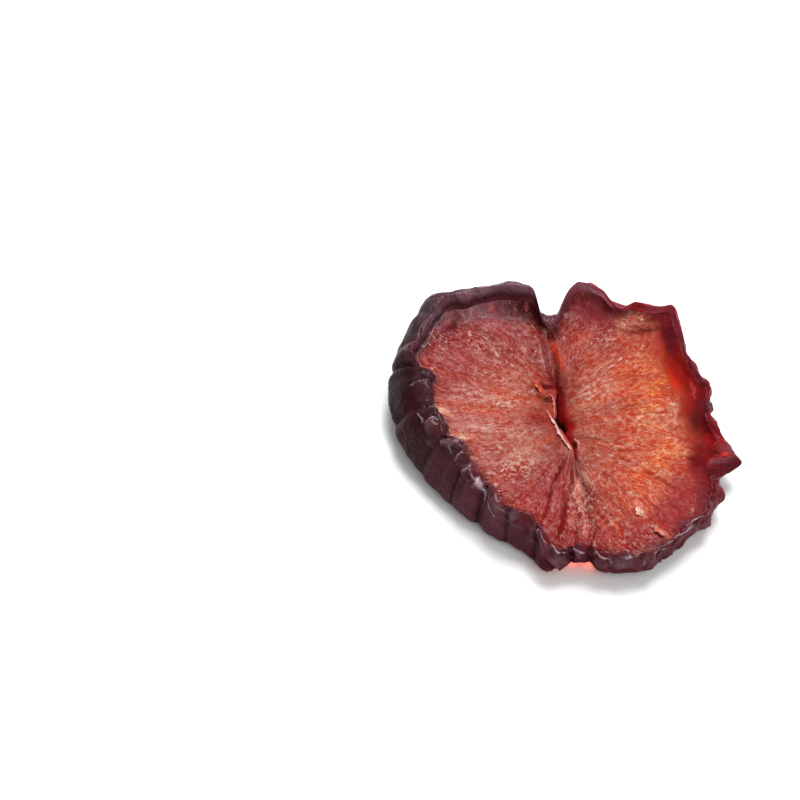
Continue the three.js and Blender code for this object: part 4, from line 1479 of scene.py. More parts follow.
@dataclass(frozen=True)
class PaperStrip:
    """A thin dry strip of the stone's lining: it stands on the flesh or lies curled on it."""

    name: str
    path: tuple[tuple[float, float], ...]  # in plan
    rise: float  # of its free edge above the flesh
    lean: float  # of its free edge sideways, to the right of the path
    root: float = 0.25  # depth of its foot in the flesh
    thickness: float = 0.34
    ruffle: float = 0.2
    seed: int = 61
    steps: int = 90
    rows: int = 7
    rounding: int = 24  # rounds of averaging along the path
    fray_count: float = 1.9  # for each millimetre
    fray_level: float = 0.5
    fray: float = 0.8
    blunt: float = 0.02  # share of its size that is left at its tips
    curl: float = 1.5
    foot_swell: float = 1.2
    edge_taper: float = 0.6
    settling: int = 6  # steps to each side over which the ground is averaged

    def build(self, upper: Array) -> bpy.types.Object:
        """Lay the strip along its path.

        The path is rounded by averaging each point with its neighbours. A closed outline
        runs up one side of the strip and down the other; it grows from nothing at both
        ends, and noise along it frays its edge and makes it wander.

        Args:
            upper: Points of the flesh's upper side, in millimetres.

        Returns:
            The piece.
        """
        corners = np.array(self.path, dtype=float)
        along = np.linspace(0, len(corners) - 1, self.steps)
        middle = np.stack([np.interp(along, range(len(corners)), c) for c in corners.T], -1)
        for _ in range(self.rounding):
            middle[1:-1] = (middle[:-2] + 2 * middle[1:-1] + middle[2:]) / 4
        heading = np.gradient(middle, axis=0)
        heading /= np.linalg.norm(heading, axis=1, keepdims=True)
        side = np.stack([heading[:, 1], -heading[:, 0]], axis=-1)
        walked = np.append(0, np.cumsum(np.linalg.norm(np.diff(middle, axis=0), axis=1)))
        level = np.full_like(walked, self.fray_level)
        frayed = np.stack([walked * self.fray_count, np.zeros_like(walked), level], -1)
        fray = 1 + self.fray * Noise(self.seed)(frayed)
        swerve = self.ruffle * Noise(self.seed + 1)(frayed)
        ends = np.sqrt(np.clip(np.sin(np.linspace(0, math.pi, self.steps)), 0, 1)) + self.blunt
        height = np.append(np.linspace(0, 1, self.rows), np.linspace(1, 0, self.rows))
        face = np.append(np.full(self.rows, 0.5), np.full(self.rows, -0.5)) * self.thickness
        out = (self.lean * fray[:, None] * height ** self.curl + swerve[:, None] * height
               + face * (self.foot_swell - self.edge_taper * height)) * ends[:, None]
        up = ((self.rise * fray[:, None] + self.root) * height - self.root) * ends[:, None]
        near = np.argmin(np.sum((middle[:, None] - upper[None, :, :2]) ** 2, axis=-1), axis=1)
        window = 2 * self.settling + 1
        padded = np.pad(upper[near, 2], self.settling, "edge")
        ground = np.convolve(padded, np.ones(window) / window, "valid")
        plan = middle[:, None] + side[:, None] * out[..., None]
        grid = np.concatenate([plan, (ground[:, None] + up)[..., None]], axis=-1)
        return tube_object(self.name, grid)


def tube_object(name: str, grid: Array) -> bpy.types.Object:
    """Make a closed mesh from outlines along a path, with a fan over each end.

    Args:
        name: Its name.
        grid: Points in millimetres: steps along the path, points round the outline.

    Returns:
        The object.
    """
    steps, around = grid.shape[:2]
    here = np.arange(around)
    after = (here + 1) % around
    row = np.arange(steps - 1)[:, None] * around
    a, b, c, d = row + here, row + after, row + around + after, row + around + here
    walls = np.concatenate([np.stack([a, b, c], -1), np.stack([a, c, d], -1)]).reshape(-1, 3)
    first, last = steps * around, steps * around + 1
    end = (steps - 1) * around
    caps = np.concatenate([
        np.stack([np.full(around, first), after, here], -1),
        np.stack([np.full(around, last), end + here, end + after], -1)])
    points = np.concatenate([grid.reshape(-1, 3), grid[[0, -1]].mean(axis=1)])
    piece = mesh_object(name, points, np.concatenate([walls, caps]))
    solid = bmesh.new()
    solid.from_mesh(piece.data)
    bmesh.ops.recalc_face_normals(solid, faces=solid.faces)
    solid.to_mesh(piece.data)
    solid.free()
    return piece


PALE_STRIPS = (
    PaperStrip("lip_strip_low", ((-2.5, 3.0), (-1.75, 1.6), (-1.2, 0.2), (-0.65, -1.1),
                                 (0, -2.4), (0.6, -3.4), (1.2, -3.8)), 0.28, 0.32, seed=61),
    PaperStrip("stone_flake_a", ((9.6, -13.9), (10.1, -14.9), (10.3, -15.4)), 0.12, 0.5,
               seed=67, steps=40),
    PaperStrip("dry_curl", ((-4.5, -17.6), (-3.7, -18.2), (-3.2, -19.2), (-3.5, -19.8)), 0.5,
               0.5, seed=71, steps=50),
)
STAINED_STRIPS = (
    PaperStrip("lip_strip_high", ((-2.9, 5.3), (-2.2, 5.6), (-1.6, 5.7), (-1.35, 4.9),
                                  (-1.35, 3.2), (-1.4, 1.4)), 0.35, 0.25, thickness=0.2,
               ruffle=0.3, seed=63),
    PaperStrip("lip_strip_right", ((1.1, -1.5), (1.8, -2.3), (1.7, -3.4)), 0.3, -0.2,
               seed=65, steps=40),
    PaperStrip("stone_flake_b", ((11.7, -17.2), (12.6, -18.0), (13.6, -18.8)), 0.16, 0.5,
               seed=69, steps=50),
    PaperStrip("torn_flap", ((-3.9, 7.6), (-3.5, 6.7), (-3.2, 5.9)), 0.3, 0.3, thickness=0.2,
               seed=73, steps=40),
)


# ---- Finishes ----


@dataclass(frozen=True)
class Span:
    """A soft step in a material: low..high becomes to_low..to_high."""

    low: float
    high: float
    to_low: float = 0
    to_high: float = 1


@dataclass(frozen=True)
class Grain:
    """How a noise in a material looks."""

    per_metre: float
    detail: float = 3
    roughness: float = 0.6
    span: Span | None = None  # the soft step that it goes through


@dataclass(frozen=True)
class Streaks:
    """How streaks look: their counts round the slit and outwards, and where they begin."""

    around: float
    along: float
    low: float = 0.5
    high: float = 0.7


class Graph:
    """A short hand for the nodes of one material or one node group.

    The Mix node's inputs go by number: 0 is the share, 2 and 3 are its two numbers, 6 and 7
    its two colours, and output 2 is the mixed colour.
    """

    def __init__(self, tree: bpy.types.NodeTree) -> None:
        """Keep the tree that nodes are added to."""
        self.tree = tree

    def fill(self, node: bpy.types.Node, inputs: dict[int | str, object]) -> bpy.types.Node:
        """Set a node's inputs to values or to output sockets and return the node."""
        for name, value in inputs.items():
            if isinstance(value, Socket):
                self.tree.links.new(value, node.inputs[name])
            else:
                node.inputs[name].default_value = value
        return node

    def add(self, kind: str, inputs: dict[int | str, object] | None = None,
            **settings: object) -> bpy.types.Node:
        """Add a node.

        Args:
            kind: Its type, such as "ShaderNodeTexNoise".
            inputs: Values or output sockets for its inputs, by name or number.
            **settings: Values of its own properties.

        Returns:
            The node.
        """
        node = self.tree.nodes.new(kind)
        for name, value in settings.items():
            setattr(node, name, value)
        return self.fill(node, inputs or {})

    def math(self, operation: str, *values: object) -> Socket:
        """Return the result of a Math node."""
        return self.add("ShaderNodeMath", dict(enumerate(values)), operation=operation).outputs[0]

    def times(self, product: object, *factors: object) -> Socket:
        """Return several values multiplied."""
        for factor in factors:
            product = self.math("MULTIPLY", product, factor)
        return product

    def mix(self, share: object, first: object, second: object,
            blend: str = "MIX") -> Socket:
        """Return two colours mixed: the first where `share` is 0, the second where it is 1."""
        return self.add("ShaderNodeMix", {0: share, 6: first, 7: second}, data_type="RGBA",
                        blend_type=blend).outputs[2]

    def over(self, colour: object, code: str, *shares: object) -> Socket:
        """Return a colour with a named one laid over it by the product of the shares."""
        return self.mix(self.times(*shares), colour, rgba(code))

    def spread(self, value: object, span: Span) -> Socket:
        """Return a value mapped through a soft step."""
        inputs = {0: value, 1: span.low, 2: span.high, 3: span.to_low, 4: span.to_high}
        return self.add("ShaderNodeMapRange", inputs, interpolation_type="SMOOTHSTEP").outputs[0]

    def mix_values(self, share: object, first: object,
                   second: object) -> Socket:
        """Return two numbers mixed: the first where `share` is 0, the second where it is 1."""
        return self.add("ShaderNodeMix", {0: share, 2: first, 3: second}).outputs[0]

    def noise(self, place: object, grain: Grain) -> Socket:
        """Return a noise in space, from 0 to 1 or through its soft step."""
        noise = self.add("ShaderNodeTexNoise", {
            "Vector": place, "Scale": grain.per_metre, "Detail": grain.detail,
            "Roughness": grain.roughness}).outputs[0]
        return self.spread(noise, grain.span) if grain.span else noise

    def off_middle(self, noise: object) -> Socket:
        """Return how far a noise is from its middle, which it crosses along thin lines."""
        return self.math("ABSOLUTE", self.math("SUBTRACT", noise, 0.5))

    def total(self, *parts: tuple[object, float]) -> Socket:
        """Add up several values.

        Args:
            *parts: Pairs of a value and its weight.

        Returns:
            The weighted sum.
        """
        result = self.math("MULTIPLY", *parts[0])
        for value, weight in parts[1:]:
            result = self.math("MULTIPLY_ADD", value, weight, result)
        return result

    def parts(self, vector: object) -> tuple[Socket, ...]:
        """Return the three parts of a vector."""
        return tuple(self.add("ShaderNodeSeparateXYZ", {0: vector}).outputs)

    def pigment(self, colour: object) -> Socket:
        """Return a colour darkened for the strong light, so that it looks like its code."""
        return self.mix(1.0, colour, (PIGMENT, PIGMENT, PIGMENT, 1.0), "MULTIPLY")

    def bump(self, height: object, depth: float, strength: float) -> Socket:
        """Return the normal of a fine relief; its depth is in metres."""
        return self.add("ShaderNodeBump", {"Height": height, "Distance": depth,
                                           "Strength": strength}).outputs[0]

    def read(self, name: str, output: str) -> Socket:
        """Return an output of one of the mesh's own attributes."""
        return self.add("ShaderNodeAttribute", attribute_name=name).outputs[output]

    def place(self) -> Socket:
        """Return the place on the object, in metres."""
        return self.add("ShaderNodeTexCoord").outputs["Object"]


def new_group(name: str, inputs: dict[str, tuple[str, object]],
              outputs: dict[str, str]) -> tuple[bpy.types.NodeTree, Graph, dict, dict]:
    """Start a shader node group.

    Args:
        name: Its name.
        inputs: Socket type and starting value for each input.
        outputs: Socket type for each output.

    Returns:
        The group, a graph to fill it, its input sockets and its output sockets by name.
    """
    tree = bpy.data.node_groups.new(name, "ShaderNodeTree")
    for key, (kind, value) in inputs.items():
        socket = tree.interface.new_socket(key, in_out="INPUT", socket_type=kind)
        socket.default_value = value
    for key, kind in outputs.items():
        tree.interface.new_socket(key, in_out="OUTPUT", socket_type=kind)
    source = tree.nodes.new("NodeGroupInput")
    sink = tree.nodes.new("NodeGroupOutput")
    return (tree, Graph(tree), {s.name: s for s in source.outputs if s.name},
            {s.name: s for s in sink.inputs if s.name})


def streak_group() -> bpy.types.NodeTree:
    """Make the group for streaks along the fibres.

    Noise on (cosine, sine, share of the way out) is scaled more round the slice than along
    the ray, so that it draws streaks that fan out from the slit. The mask is where the noise
    is high; the crests run on and branch where the noise crosses its middle.

    Returns:
        The group.
    """
    detail, roughness, distortion = 3.0, 0.55, 0.7
    usual, crest = Streaks(30, 8), Span(0, 0.09, 1, 0)
    tree, graph, given, out = new_group(
        "fibre_streaks",
        {"Fibre": ("NodeSocketVector", (0, 0, 0)), "Around": ("NodeSocketFloat", usual.around),
         "Along": ("NodeSocketFloat", usual.along), "Low": ("NodeSocketFloat", usual.low),
         "High": ("NodeSocketFloat", usual.high)},
        {"Mask": "NodeSocketFloat", "Crest": "NodeSocketFloat"})
    scale = graph.add("ShaderNodeCombineXYZ",
                      {0: given["Around"], 1: given["Around"], 2: given["Along"]})
    place = graph.add("ShaderNodeVectorMath", {0: given["Fibre"], 1: scale.outputs[0]},
                      operation="MULTIPLY")
    noise = graph.add("ShaderNodeTexNoise", {
        "Vector": place.outputs[0], "Scale": 1.0, "Detail": detail, "Roughness": roughness,
        "Distortion": distortion}).outputs[0]
    mask = graph.add("ShaderNodeMapRange", {0: noise, 1: given["Low"], 2: given["High"]},
                     interpolation_type="SMOOTHSTEP")
    tree.links.new(mask.outputs[0], out["Mask"])
    tree.links.new(graph.spread(graph.off_middle(noise), crest), out["Crest"])
    return tree


def crinkle_group() -> bpy.types.NodeTree:
    """Make the group for crinkles: thin crests where a noise in space crosses its middle.

    Returns:
        The group.
    """
    detail, roughness, distortion = 3.0, 0.5, 0.6
    steepness, per_metre = 5.0, 1000.0
    tree, graph, given, out = new_group(
        "crinkle",
        {"Place": ("NodeSocketVector", (0, 0, 0)), "Per Metre": ("NodeSocketFloat", per_metre)},
        {"Height": "NodeSocketFloat"})
    noise = graph.add("ShaderNodeTexNoise", {
        "Vector": given["Place"], "Scale": given["Per Metre"], "Detail": detail,
        "Roughness": roughness, "Distortion": distortion}).outputs[0]
    fall = graph.times(graph.off_middle(noise), steepness)
    height = graph.math("MAXIMUM", graph.math("SUBTRACT", 1.0, fall), 0.0)
    tree.links.new(height, out["Height"])
    return tree


@dataclass
class Effects:
    """The shared node groups, placed in a material each time with its own values."""

    streaks: bpy.types.NodeTree = field(default_factory=streak_group)
    crinkle: bpy.types.NodeTree = field(default_factory=crinkle_group)

    def streak(self, graph: Graph, fibre: object, look: Streaks,
               output: str = "Mask") -> Socket:
        """Place streaks in a material and return their mask or their crests."""
        values = {"Fibre": fibre, "Around": look.around, "Along": look.along, "Low": look.low,
                  "High": look.high}
        return graph.add("ShaderNodeGroup", values, node_tree=self.streaks).outputs[output]

    def crinkles(self, graph: Graph, place: object, per_metre: float) -> Socket:
        """Place crinkles in a material and return their height."""
        values = {"Place": place, "Per Metre": per_metre}
        return graph.add("ShaderNodeGroup", values, node_tree=self.crinkle).outputs["Height"]


def start_material(name: str) -> tuple[bpy.types.Material, Graph, bpy.types.Node]:
    """Start a material.

    Args:
        name: Its name.

    Returns:
        The material, its graph and its Principled shader.
    """
    material = bpy.data.materials.new(name)
    material.use_nodes = True
    return material, Graph(material.node_tree), material.node_tree.nodes["Principled BSDF"]


def rgba(code: str) -> tuple[float, float, float, float]:
    """Return a colour code as linear values for a socket."""
    red, green, blue = linear(code)
    return (red, green, blue, 1.0)


@dataclass(frozen=True)
class Finish:
    """What every finish of the slice sets: its relief's depth, its roughness and scatter."""

    relief_depth: float = 0.00009  # metres
    relief_strength: float = 0.9
    roughness: Span = Span(0.3, 0.7, 0.32, 0.55)
    scatter: float = 0.22
    scatter_reach: tuple[float, ...] = (2.4, 0.6, 0.3)  # millimetres, red reaches furthest

    def surface(self, graph: Graph, colour: object, height: object,
                dull: object) -> dict[str, object]:
        """Return what every finish gives its shader; its roughness follows `dull`."""
        return {"Base Color": graph.pigment(colour),
                "Normal": graph.bump(height, self.relief_depth, self.relief_strength),
                "Roughness": graph.spread(dull, self.roughness),
                "Subsurface Weight": self.scatter, "Subsurface Radius": self.scatter_reach,
                "Subsurface Scale": METRE}


@dataclass(frozen=True)
class FleshFinish(Finish):
    """Dried flesh: deep red and moist, with pale fibres, dark seams and mealy specks.

    Between the fibres the tint is multiplied by `deep`, and on them by `pale_gain`; the
    other colours are laid over it, each by a mask and its own share. Some are painted
    light and shade: glints and highlight specks, a sheen on the dark parts and the shade
    in the gully's creases.
    """

    cloud: Grain = Grain(300, 4)
    cells: Grain = Grain(1500)
    grain: Grain = Grain(3600)
    patchy: Grain = Grain(210, 2, 0.5, Span(0.4, 0.6, 0.3, 0.6))  # cells instead of fibres
    wrinkles: Streaks = Streaks(26, 7)
    wrinkle_share: float = 0.4
    marks: Streaks = Streaks(58, 20, 0.42, 0.6)
    mark_share: float = 0.6
    cell_span: Span = Span(0.38, 0.64)
    mealy_cells: float = 0.6
    fibrous: Span = Span(1, 1.7, 1, 0)  # lost in the mealy flesh
    meal: Span = Span(1, 1.7, 0, 0.8)
    meal_grain: Span = Span(0.4, 0.62, 0.35, 0.9)
    cloud_span: Span = Span(0.3, 0.7, -0.25, 0.25)
    grain_span: Span = Span(0.36, 0.64, -0.16, 0.16)
    dark_contrast: float = 0.4  # of the fibres where the flesh is dark
    light_contrast: float = 0.6  # what light flesh adds
    middle: float = 0.5
    smooth_share: float = 0.8
    smooth_body: float = 0.4
    body_span: Span = Span(0.05, 0.95)
    pale: str = "#e2a08c"
    pale_share: float = 0.12
    pale_gain: tuple[float, float, float, float] = (1.02, 1.32, 1.38, 1)
    deep: str = "#e4a39e"
    seam: str = "#5c1016"
    seams: Streaks = Streaks(15, 2.4, 0.56, 0.7)
    seam_share: float = 0.3
    # valley: painted shade in the gully's creases; the furrows use it as their own dark red
    valley: str = "#7c0e14"
    valley_share: float = 0.8
    vein: tuple[float, float, float, float] = (1.12, 0.76, 0.5, 1)  # multiplies the colour
    veins: Streaks = Streaks(11, 1.5, 0.5, 0.66)
    vein_share: float = 0.8
    furrows: Streaks = Streaks(8, 1.9, 0.55, 0.7)
    furrow_share: float = 0.36
    dots: Span = Span(0.52, 0.62)
    dot_share: float = 0.3
    haze: str = "#943440"  # on the dark parts, in patches, and in dashes that are a painted sheen
    haze_grain: Grain = Grain(520, 5, 0.7, Span(0.5, 0.66))
    haze_share: float = 0.3
    threads: Streaks = Streaks(90, 24, 0.52, 0.64)
    dash_share: float = 0.3  # of the threads on the dark parts
    thread_share: float = 0.35
    # pale colour of the mealy specks, also used for painted glints and highlight specks on the lit flesh
    speck_and_glint: str = "#f4d0c0"
    # specks: partly pale fibres, partly painted highlights
    specks: Streaks = Streaks(38, 26, 0.58, 0.66)
    speck_grain: Grain = Grain(260, span=Span(0.46, 0.6))
    speck_share: float = 0.6
    glints: Streaks = Streaks(24, 15, 0.64, 0.7)
    glint_grain: Grain = Grain(190, 2, 0.5, Span(0.42, 0.6))
    glint_share: float = 0.6
    heaps: Grain = Grain(230, 2, 0.5, Span(0.54, 0.66))
    heap_cells: Span = Span(0.5, 0.62)
    heap_share: float = 0.3
    relief: tuple[float, ...] = (0.7, 0.6, 0.8, 0.5, 0.5)  # weights of its parts
    smooth_relief: float = -0.7
    wet: Span = Span(0.45, 0.7, 0, 0.14)
    wet_roughness: float = 0.18
    specular: float = 0.02

    def make(self, effects: Effects) -> bpy.types.Material:
        """Build the material.

        Args:
            effects: The shared node groups.

        Returns:
            The material.
        """
        material, graph, shader = start_material("dried_flesh")
        fibre = graph.read("fibre", "Vector")
        tint = graph.read("tint", "Vector")
        drawn, mealy, light = graph.parts(graph.read("drawn", "Vector"))
        place = graph.place()
        cloud = graph.noise(place, self.cloud)
        cells = graph.noise(place, self.cells)
        grain = graph.noise(place, self.grain)
        wrinkles = effects.streak(graph, fibre, self.wrinkles, "Crest")
        marks = effects.streak(graph, fibre, self.marks)
        grains = graph.spread(cells, self.cell_span)
        threads = effects.streak(graph, fibre, self.threads)
        strewn = graph.noise(place, self.speck_grain)
        specks = graph.times(effects.streak(graph, fibre, self.specks), strewn)
        seams = effects.streak(graph, fibre, self.seams)
        streaky = graph.total((wrinkles, self.wrinkle_share), (marks, self.mark_share))
        share = graph.noise(place, self.patchy)
        share = graph.math("MAXIMUM", share, graph.times(mealy, self.mealy_cells))
        share = graph.math("MINIMUM", share, 1.0)
        smooth = graph.read("smooth", "Fac")
        rough = graph.math("SUBTRACT", 1.0, smooth)
        fibrous = graph.times(graph.spread(mealy, self.fibrous), rough)
        body = graph.mix_values(share, streaky, grains)
        body = graph.mix_values(graph.spread(mealy, self.meal), body,
                                graph.spread(grain, self.meal_grain))
        body = graph.math("ADD", body, graph.spread(cloud, self.cloud_span))
        body = graph.math("ADD", body, graph.spread(grain, self.grain_span))
        contrast = graph.math("MULTIPLY_ADD", light, self.light_contrast, self.dark_contrast)
        body = graph.mix_values(contrast, self.middle, body)
        body = graph.mix_values(graph.times(smooth, self.smooth_share), body, self.smooth_body)
        lit = graph.over(tint, self.pale, light, self.pale_share)
        pale = graph.mix(1.0, lit, self.pale_gain, "MULTIPLY")
        deep = graph.mix(1.0, tint, rgba(self.deep), "MULTIPLY")
        colour = graph.mix(graph.spread(body, self.body_span), deep, pale)
        colour = graph.over(colour, self.seam, seams, fibrous, self.seam_share)
        # painted shade: dark red laid in the gully's creases
        colour = graph.over(colour, self.valley, drawn, self.valley_share)
        veins = graph.times(effects.streak(graph, fibre, self.veins), fibrous)
        colour = graph.mix(graph.times(veins, self.vein_share), colour, self.vein, "MULTIPLY")
        furrows = effects.streak(graph, fibre, self.furrows)
        colour = graph.over(colour, self.valley, furrows, fibrous, self.furrow_share)
        dots = graph.spread(grain, self.dots)
        colour = graph.over(colour, self.seam, dots, mealy, self.dot_share)
        dim = graph.math("SUBTRACT", 1.0, light)
        haze = graph.noise(place, self.haze_grain)
        # the dark parts get patches of a lighter red, and dashes of it as painted sheen
        colour = graph.over(colour, self.haze, dim, haze, self.haze_share)
        colour = graph.over(colour, self.haze, dim, threads, self.dash_share, fibrous)
        colour = graph.over(colour, self.pale, light, threads, fibrous, self.thread_share)
        # painted glints and highlight specks on the lit flesh; the mealy heaps keep their own pale colour
        glints = effects.streak(graph, fibre, self.glints)
        strewn = graph.noise(place, self.glint_grain)
        light = graph.times(light, rough)
        colour = graph.over(colour, self.speck_and_glint, glints, strewn, light, self.glint_share)
        colour = graph.over(colour, self.speck_and_glint, light, specks, self.speck_share)
        meal = graph.times(graph.noise(place, self.heaps), graph.spread(cells, self.heap_cells))
        colour = graph.over(colour, self.speck_and_glint, meal, light, self.heap_share)
        height = graph.total(*zip((wrinkles, marks, specks, grains, grain), self.relief))
        height = graph.times(height, graph.math("MULTIPLY_ADD", smooth, self.smooth_relief, 1.0))
        graph.fill(shader, self.surface(graph, colour, height, grain) | {
            "Coat Weight": graph.times(graph.spread(cells, self.wet), light),
            "Coat Roughness": self.wet_roughness, "Specular IOR Level": self.specular})
        return material


@dataclass(frozen=True)
class SkinFinish(Finish):
    """Dried skin: dark, leathery and half glossy, with painted highlights and a partly painted sheen on
    its creases, and paler on its cut edge.
    """

    cloud: Grain = Grain(300, 5)
    grain: Grain = Grain(5200)
    coarse: float = 420  # crinkles to the metre
    fine: float = 1300
    shade: str = "#220c12"
    shade_span: Span = Span(0.4, 0.7, 0, 0.45)
    wine: str = "#5e141b"
    blotch: Grain = Grain(130, 3, 0.5, Span(0.5, 0.75, 0, 0.35))
    bloom_and_sheen: str = "#84606e"  # on the crests: the skin's bloom with a painted sheen
    bloom_crest: Span = Span(0.05, 0.5)
    bloom_cloud: Span = Span(0.3, 0.6)
    bloom_share: float = 0.5
    # painted highlight: pale lines on the sharp crests
    crest_highlight: str = "#c4acb2"
    crest_highlight_share: float = 0.75
    paper_edge: str = "#c89a98"
    paper_lip: Span = Span(0.14, 0.34)
    paper_cloud: Span = Span(0.25, 0.5)
    paper_share: float = 0.9
    relief: tuple[float, ...] = (0.9, 0.6, 0.2)  # weights of its parts
    relief_depth: float = 0.00014
    roughness: Span = Span(0.3, 0.7, 0.24, 0.46)
    coat: Span = Span(0.35, 0.6, 0.5, 1)
    coat_roughness: float = 0.13
    specular: float = 0.04
    scatter: float = 0.08
    scatter_reach: tuple[float, ...] = (1.2, 0.25, 0.2)

    def make(self, effects: Effects) -> bpy.types.Material:
        """Build the material.

        Args:
            effects: The shared node groups.

        Returns:
            The material.
        """
        material, graph, shader = start_material("dried_skin")
        tint = graph.read("tint", "Vector")
        crest, gloss, lip, highlit_crests = (graph.read(name, "Fac")
                                     for name in ("crest", "gloss", "lip", "highlit_crests"))
        place = graph.place()
        cloud = graph.noise(place, self.cloud)
        grain = graph.noise(place, self.grain)
        coarse = effects.crinkles(graph, place, self.coarse)
        fine = effects.crinkles(graph, place, self.fine)
        colour = graph.over(tint, self.shade, graph.spread(cloud, self.shade_span))
        colour = graph.over(colour, self.wine, graph.noise(place, self.blotch))
        # paler lilac on the crests: the skin's bloom, with a painted sheen
        bloom_and_sheen_shares = (graph.spread(crest, self.bloom_crest), graph.spread(cloud, self.bloom_cloud))
        colour = graph.over(colour, self.bloom_and_sheen, *bloom_and_sheen_shares, self.bloom_share)
        # painted highlight on the sharp crests
        colour = graph.over(colour, self.crest_highlight, highlit_crests, self.crest_highlight_share)
        paper = (graph.spread(lip, self.paper_lip), graph.spread(cloud, self.paper_cloud))
        colour = graph.over(colour, self.paper_edge, *paper, self.paper_share)
        height = graph.total(*zip((coarse, fine, grain), self.relief))
        graph.fill(shader, self.surface(graph, colour, height, cloud) | {
            "Coat Weight": graph.times(gloss, graph.spread(cloud, self.coat)),
            "Coat Roughness": self.coat_roughness, "Specular IOR Level": self.specular})
        return material


@dataclass(frozen=True)
class PaperFinish(Finish):
    """The dry lining of the stone: thin, pale and dull, stained by the flesh."""

    name: str = "dry_lining"
    pale: str = "#eab8aa"
    stain: str = "#c87a68"
    cloud: Grain = Grain(900, 4)
    grain: Grain = Grain(4200)
    stained: Span = Span(0.42, 0.66)
    relief_depth: float = 0.00006
    relief_strength: float = 1
    roughness: Span = Span(0.3, 0.7, 0.45, 0.7)
    scatter: float = 0.3
    scatter_reach: tuple[float, ...] = (0.6, 0.3, 0.2)

    def make(self) -> bpy.types.Material:
        """Build the material.

        Returns:
            The material.
        """
        material, graph, shader = start_material(self.name)
        place = graph.place()
        cloud = graph.noise(place, self.cloud)
        grain = graph.noise(place, self.grain)
        stained = graph.spread(cloud, self.stained)
        colour = graph.mix(stained, rgba(self.pale), rgba(self.stain))
        graph.fill(shader, self.surface(graph, colour, grain, grain))
        return material


# ---- Stage ----


@dataclass(frozen=True)
class Lamp:
    """A square soft light, turned towards the slice."""

    name: str
    place: tuple[float, float, float]
    size: float
    power: float
    mirrored: bool = True  # whether gloss shows it

    def hang(self) -> None:
        """Add the light to the scene."""
        lamp = bpy.data.lights.new(self.name, "AREA")
        lamp.size = self.size
        lamp.energy = self.power
        x, y, z = self.place
        turn = (math.atan2(math.hypot(x, y), z), 0, math.atan2(-y, -x) - math.pi / 2)
        place_object(self.name, lamp, self.place, turn).visible_glossy = self.mirrored


@dataclass(frozen=True)
class RedGlow:
    """The light that the thin flesh lets through to the floor under the front of the rim."""

    places: tuple[tuple[float, float, float], ...] = (
        (-0.0022, -0.0200, 0.0006), (0.0006, -0.0199, 0.0007), (0.0030, -0.0203, 0.0006))
    radius: float = 0.0008
    power: float = 0.00007
    colour: tuple[float, float, float] = (1, 0.13, 0.07)

    def hang(self) -> None:
        """Add a row of small lights to the scene, out of sight themselves."""
        for place in self.places:
            lamp = bpy.data.lights.new("red_glow", "POINT")
            lamp.shadow_soft_size = self.radius
            lamp.energy = self.power
            lamp.color = self.colour
            holder = place_object("red_glow", lamp, place)
            holder.visible_camera = False
            holder.visible_glossy = False


@dataclass(frozen=True)
class Camera:
    """A long lens, level with the far end, that looks down on the table."""

    elevation: float = math.radians(50)
    distance: float = 1
    view_width: float = 0.1104  # at the target
    target: tuple[float, float] = (-0.0226, 0.0087)
    sensor: float = 36  # millimetres

    def set_up(self) -> None:
        """Add the camera and make it the scene's own."""
        camera = bpy.data.cameras.new("camera")
        camera.sensor_width = self.sensor
        camera.lens = self.sensor * self.distance / self.view_width
        x, y = self.target
        place = (x, y - self.distance * math.cos(self.elevation),
                 self.distance * math.sin(self.elevation))
        turn = (math.pi / 2 - self.elevation, 0, 0)
        bpy.context.scene.camera = place_object("camera", camera, place, turn)


LAMPS = (
    Lamp("key", (0.17, 0.35, 0.73), 0.4, 6.75),
    Lamp("back", (0.0, 0.56, 0.62), 0.3, 2.4),
    Lamp("fill", (0.4, -0.5, 0.5), 0.8, 3.4, mirrored=False),
)


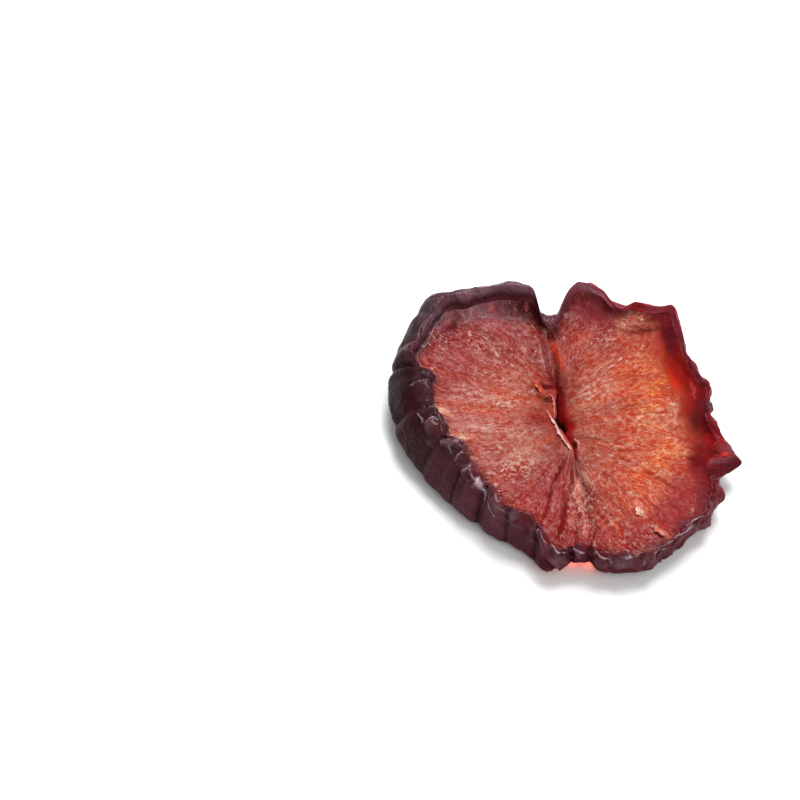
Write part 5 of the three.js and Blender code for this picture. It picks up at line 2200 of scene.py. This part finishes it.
@dataclass(frozen=True)
class Stage:
    """A wide pale floor in a bright room, a soft key light behind and a fill in front."""

    floor_half: float = 2000  # millimetres
    floor_tone: float = 0.94
    floor_roughness: float = 0.8
    room_light: float = 0.42
    lamps: tuple[Lamp, ...] = LAMPS
    glow: RedGlow = RedGlow()
    camera: Camera = Camera()

    def build(self) -> None:
        """Set up the floor, the light and the camera."""
        self.lay_floor()
        for lamp in self.lamps:
            lamp.hang()
        self.glow.hang()
        self.camera.set_up()
        world = bpy.data.worlds.new("room")
        world.use_nodes = True
        sky = world.node_tree.nodes["Background"]
        sky.inputs["Color"].default_value = (1, 1, 1, 1)
        sky.inputs["Strength"].default_value = self.room_light
        bpy.context.scene.world = world
        bpy.context.scene.view_settings.view_transform = "Standard"

    def lay_floor(self) -> None:
        """Add the floor under the slice."""
        half = self.floor_half
        corners = np.array([[-half, -half, 0], [half, -half, 0], [half, half, 0],
                            [-half, half, 0]])
        floor = mesh_object("floor", corners, np.array([[0, 1, 2], [0, 2, 3]]))
        material, _, shader = start_material("pale_floor")
        tone = self.floor_tone
        shader.inputs["Base Color"].default_value = (tone, tone, tone, 1)
        shader.inputs["Roughness"].default_value = self.floor_roughness
        floor.data.materials.append(material)


def main() -> None:
    """Build the slice, dress it and set the stage."""
    effects = Effects()
    flesh, upper = FleshBody().build()
    flesh.data.materials.append(FleshFinish().make(effects))
    skin = SkinRing().build()
    skin.data.materials.append(SkinFinish().make(effects))
    strips = []
    stained = PaperFinish(name="stained_lining", pale="#d08070", stain="#b44828")
    for group, finish in ((PALE_STRIPS, PaperFinish()), (STAINED_STRIPS, stained)):
        paper = finish.make()
        for strip in group:
            piece = strip.build(upper)
            piece.data.materials.append(paper)
            strips.append(piece)
    for piece in (flesh, skin, *strips):
        LOG.info("%s: %d faces", piece.name, len(piece.data.polygons))
        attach(piece, "root")
        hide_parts("plum_slice")
    Stage().build()


if __name__ == "__main__":
    logging.basicConfig(level=logging.INFO, format="%(name)s: %(message)s")
    main()
